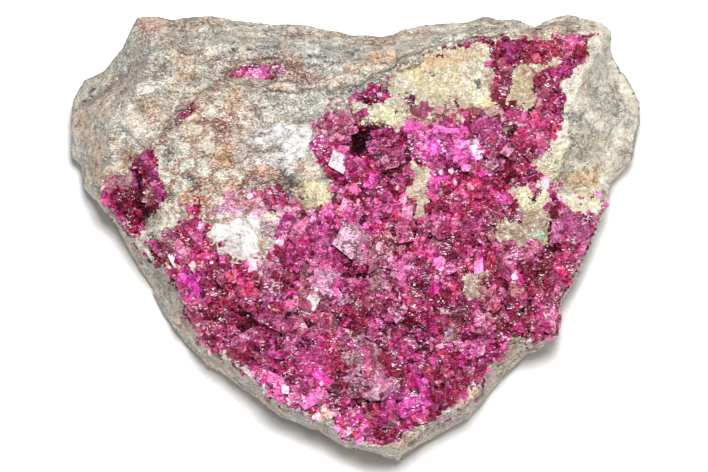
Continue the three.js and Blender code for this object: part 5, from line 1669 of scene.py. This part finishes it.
@dataclass
class PocketDruses:
    """The crystal linings of the pockets and of the seam under the upper plate."""

    form: SlabForm

    def build(self) -> dict[str, list[bpy.types.Object]]:
        """Builds each lining and returns its objects by CAD node."""
        layers = (Layer(2.0, (0.9, 1.9), 0.0, 60, 1.8, 3), Layer(1.4, (0.45, 0.95), 0.1, 70, 1.6, 2))
        made = {}
        for n, (place, outline) in enumerate(zip(("left_pocket", "upper_pocket", "ledge_seam"), DRUSES[1:])):
            ground = Ground(self.form, DRUSE_RISE, 3, 0.9, 81 + n)
            extra = (standing(self.form, POCKET_STANDOUTS),) if outline is UPPER_POCKET else ()
            made[place + "_druse"] = Crust(
                place + "_lining", outline, ground, POCKET_PALETTE, layers, Face.SMALL_CRUST.value,
                seed=20 + n, shade=0.8,
            ).build(extra)  # fmt: skip
        return made


@dataclass
class CreamCrusts:
    """The cream calcite that grew last, over rock and druse."""

    form: SlabForm

    def build(self) -> dict[str, list[bpy.types.Object]]:
        """Builds each crust and returns its objects by CAD node."""
        layers = (Layer(1.2, (0.45, 0.95), 0.05, 60, 1.4, 1.6), Layer(0.5, (0.28, 0.52), 0.15, 70, 1.5, 0.9))
        made = {}
        nodes = ("crust_upper", "crust_ridge", "crust_right", "crust_edge", "knob_low", "knob_mid")
        for n, (node, outline) in enumerate(zip(nodes, CREAM_PATCHES)):
            ground = Ground(self.form, CREAM_RISE, 2.3, 0.55, 91 + n)
            made["cream_" + node] = Crust(
                "calcite_" + node, outline, ground, CREAM_PALETTE, layers, Face.SMALL_CRUST.value,
                seed=40 + n, depth=1.2, shade=0.94, frayed=CREAM_FRAY,
            ).build()  # fmt: skip
        return made


@dataclass(frozen=True)
class Lamp:
    """A square white lamp turned to the specimen.

    Args:
        name: what it is.
        place: its place in metres.
        size: length of its side in metres.
        watts: its power.
    """

    name: str
    place: tuple[float, float, float]
    size: float
    watts: float

    def hang(self) -> None:
        """Puts the lamp in the scene."""
        light = bpy.data.lights.new(self.name, "AREA")
        light.size, light.energy = self.size, self.watts
        lamp = shown(self.name, light)
        lamp.location = self.place
        lamp.rotation_euler = (Vector((0, 0, 0.02)) - Vector(self.place)).to_track_quat("-Z", "Y").to_euler()


@dataclass
class Studio:
    """The white table, its soft light and the camera.

    Args:
        distance: from the camera to the specimen, in mm.
        sheet_width: width of the view at the specimen, in mm.
        aim: the sheet's point in the middle of the picture, and its height.
        half_table: half the table's width, in mm.
        room: strength of the light from all about.
        lamps: a small soft box straight overhead, and a wide weak one to its right.
    """

    distance: float = 2000
    sheet_width: float = 128.7
    aim: tuple[float, float, float] = (-0.36, -0.18, 15.0)
    half_table: float = 900
    room: float = 0.17
    lamps: tuple[Lamp, ...] = (
        Lamp("soft box", (0.022, -0.045, 1.0), 0.15, 11.8),
        Lamp("fill lamp", (0.2, 0.0, 1.0), 0.6, 1.2),
    )

    def table(self) -> None:
        """The table: a plain white square of acrylic."""
        n = Nodes("white acrylic table")
        acrylic = {"Base Color": rgba("#fcfcfc"), "Roughness": 0.9, "IOR": 1.3}
        half = self.half_table * MM
        corners = [(-half, -half, 0), (half, -half, 0), (half, half, 0), (-half, half, 0)]
        mesh = bpy.data.meshes.new("table")
        mesh.from_pydata(corners, [], [(0, 1, 2, 3)])
        mesh.materials.append(n.finish(n.add("BsdfPrincipled", acrylic)))
        table = shown("table", mesh)

    def light(self) -> None:
        """The lamps and a pale room."""
        world = bpy.data.worlds.new("room")
        world.use_nodes = True
        background = world.node_tree.nodes["Background"].inputs
        background[0].default_value, background[1].default_value = (1, 1, 1, 1), self.room
        bpy.context.scene.world = world
        for lamp in self.lamps:
            lamp.hang()

    def camera(self, form: SlabForm) -> None:
        """The camera, nearly straight above, with a lens long enough to keep the sheet's scale everywhere."""
        data = bpy.data.cameras.new("camera")
        data.sensor_width = 36
        data.lens = data.sensor_width * self.distance / self.sheet_width
        data.clip_end = 10
        camera = shown("camera", data)
        middle = form.place(*(np.array(a) for a in self.aim))
        camera.location = (middle + SHEET_NORMAL * self.distance) * MM
        camera.rotation_euler = (FACE_LEAN, 0, 0)
        bpy.context.scene.camera = camera

    def build(self, form: SlabForm) -> None:
        """Sets the table, the lamps and the camera, and shows colours as they are."""
        self.table()
        self.light()
        self.camera(form)
        bpy.context.scene.view_settings.view_transform = "Standard"


def dress(pieces: list[bpy.types.Object], material: bpy.types.Material, node: str) -> None:
    """Gives pieces their finish, hangs them on the root body, and hides the CAD node that they stand for."""
    for piece in pieces:
        piece.data.materials.append(material)
        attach(piece, "root")
        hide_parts(node)


def main() -> None:
    """Builds the specimen and its studio."""
    logging.basicConfig(level=logging.INFO, format="%(message)s")
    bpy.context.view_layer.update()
    form = SlabForm()
    magenta, cream = MAGENTA.material(), CREAM.material()
    dress([MatrixRock(form).build()], ROCK.material(), "matrix_rock")
    dress(MagentaDruse(form).build(), magenta, "magenta_druse")
    for node, pieces in PocketDruses(form).build().items():
        dress(pieces, magenta, node)
    for node, pieces in CreamCrusts(form).build().items():
        dress(pieces, cream, node)
    Studio().build(form)


if __name__ == "__main__":
    main()
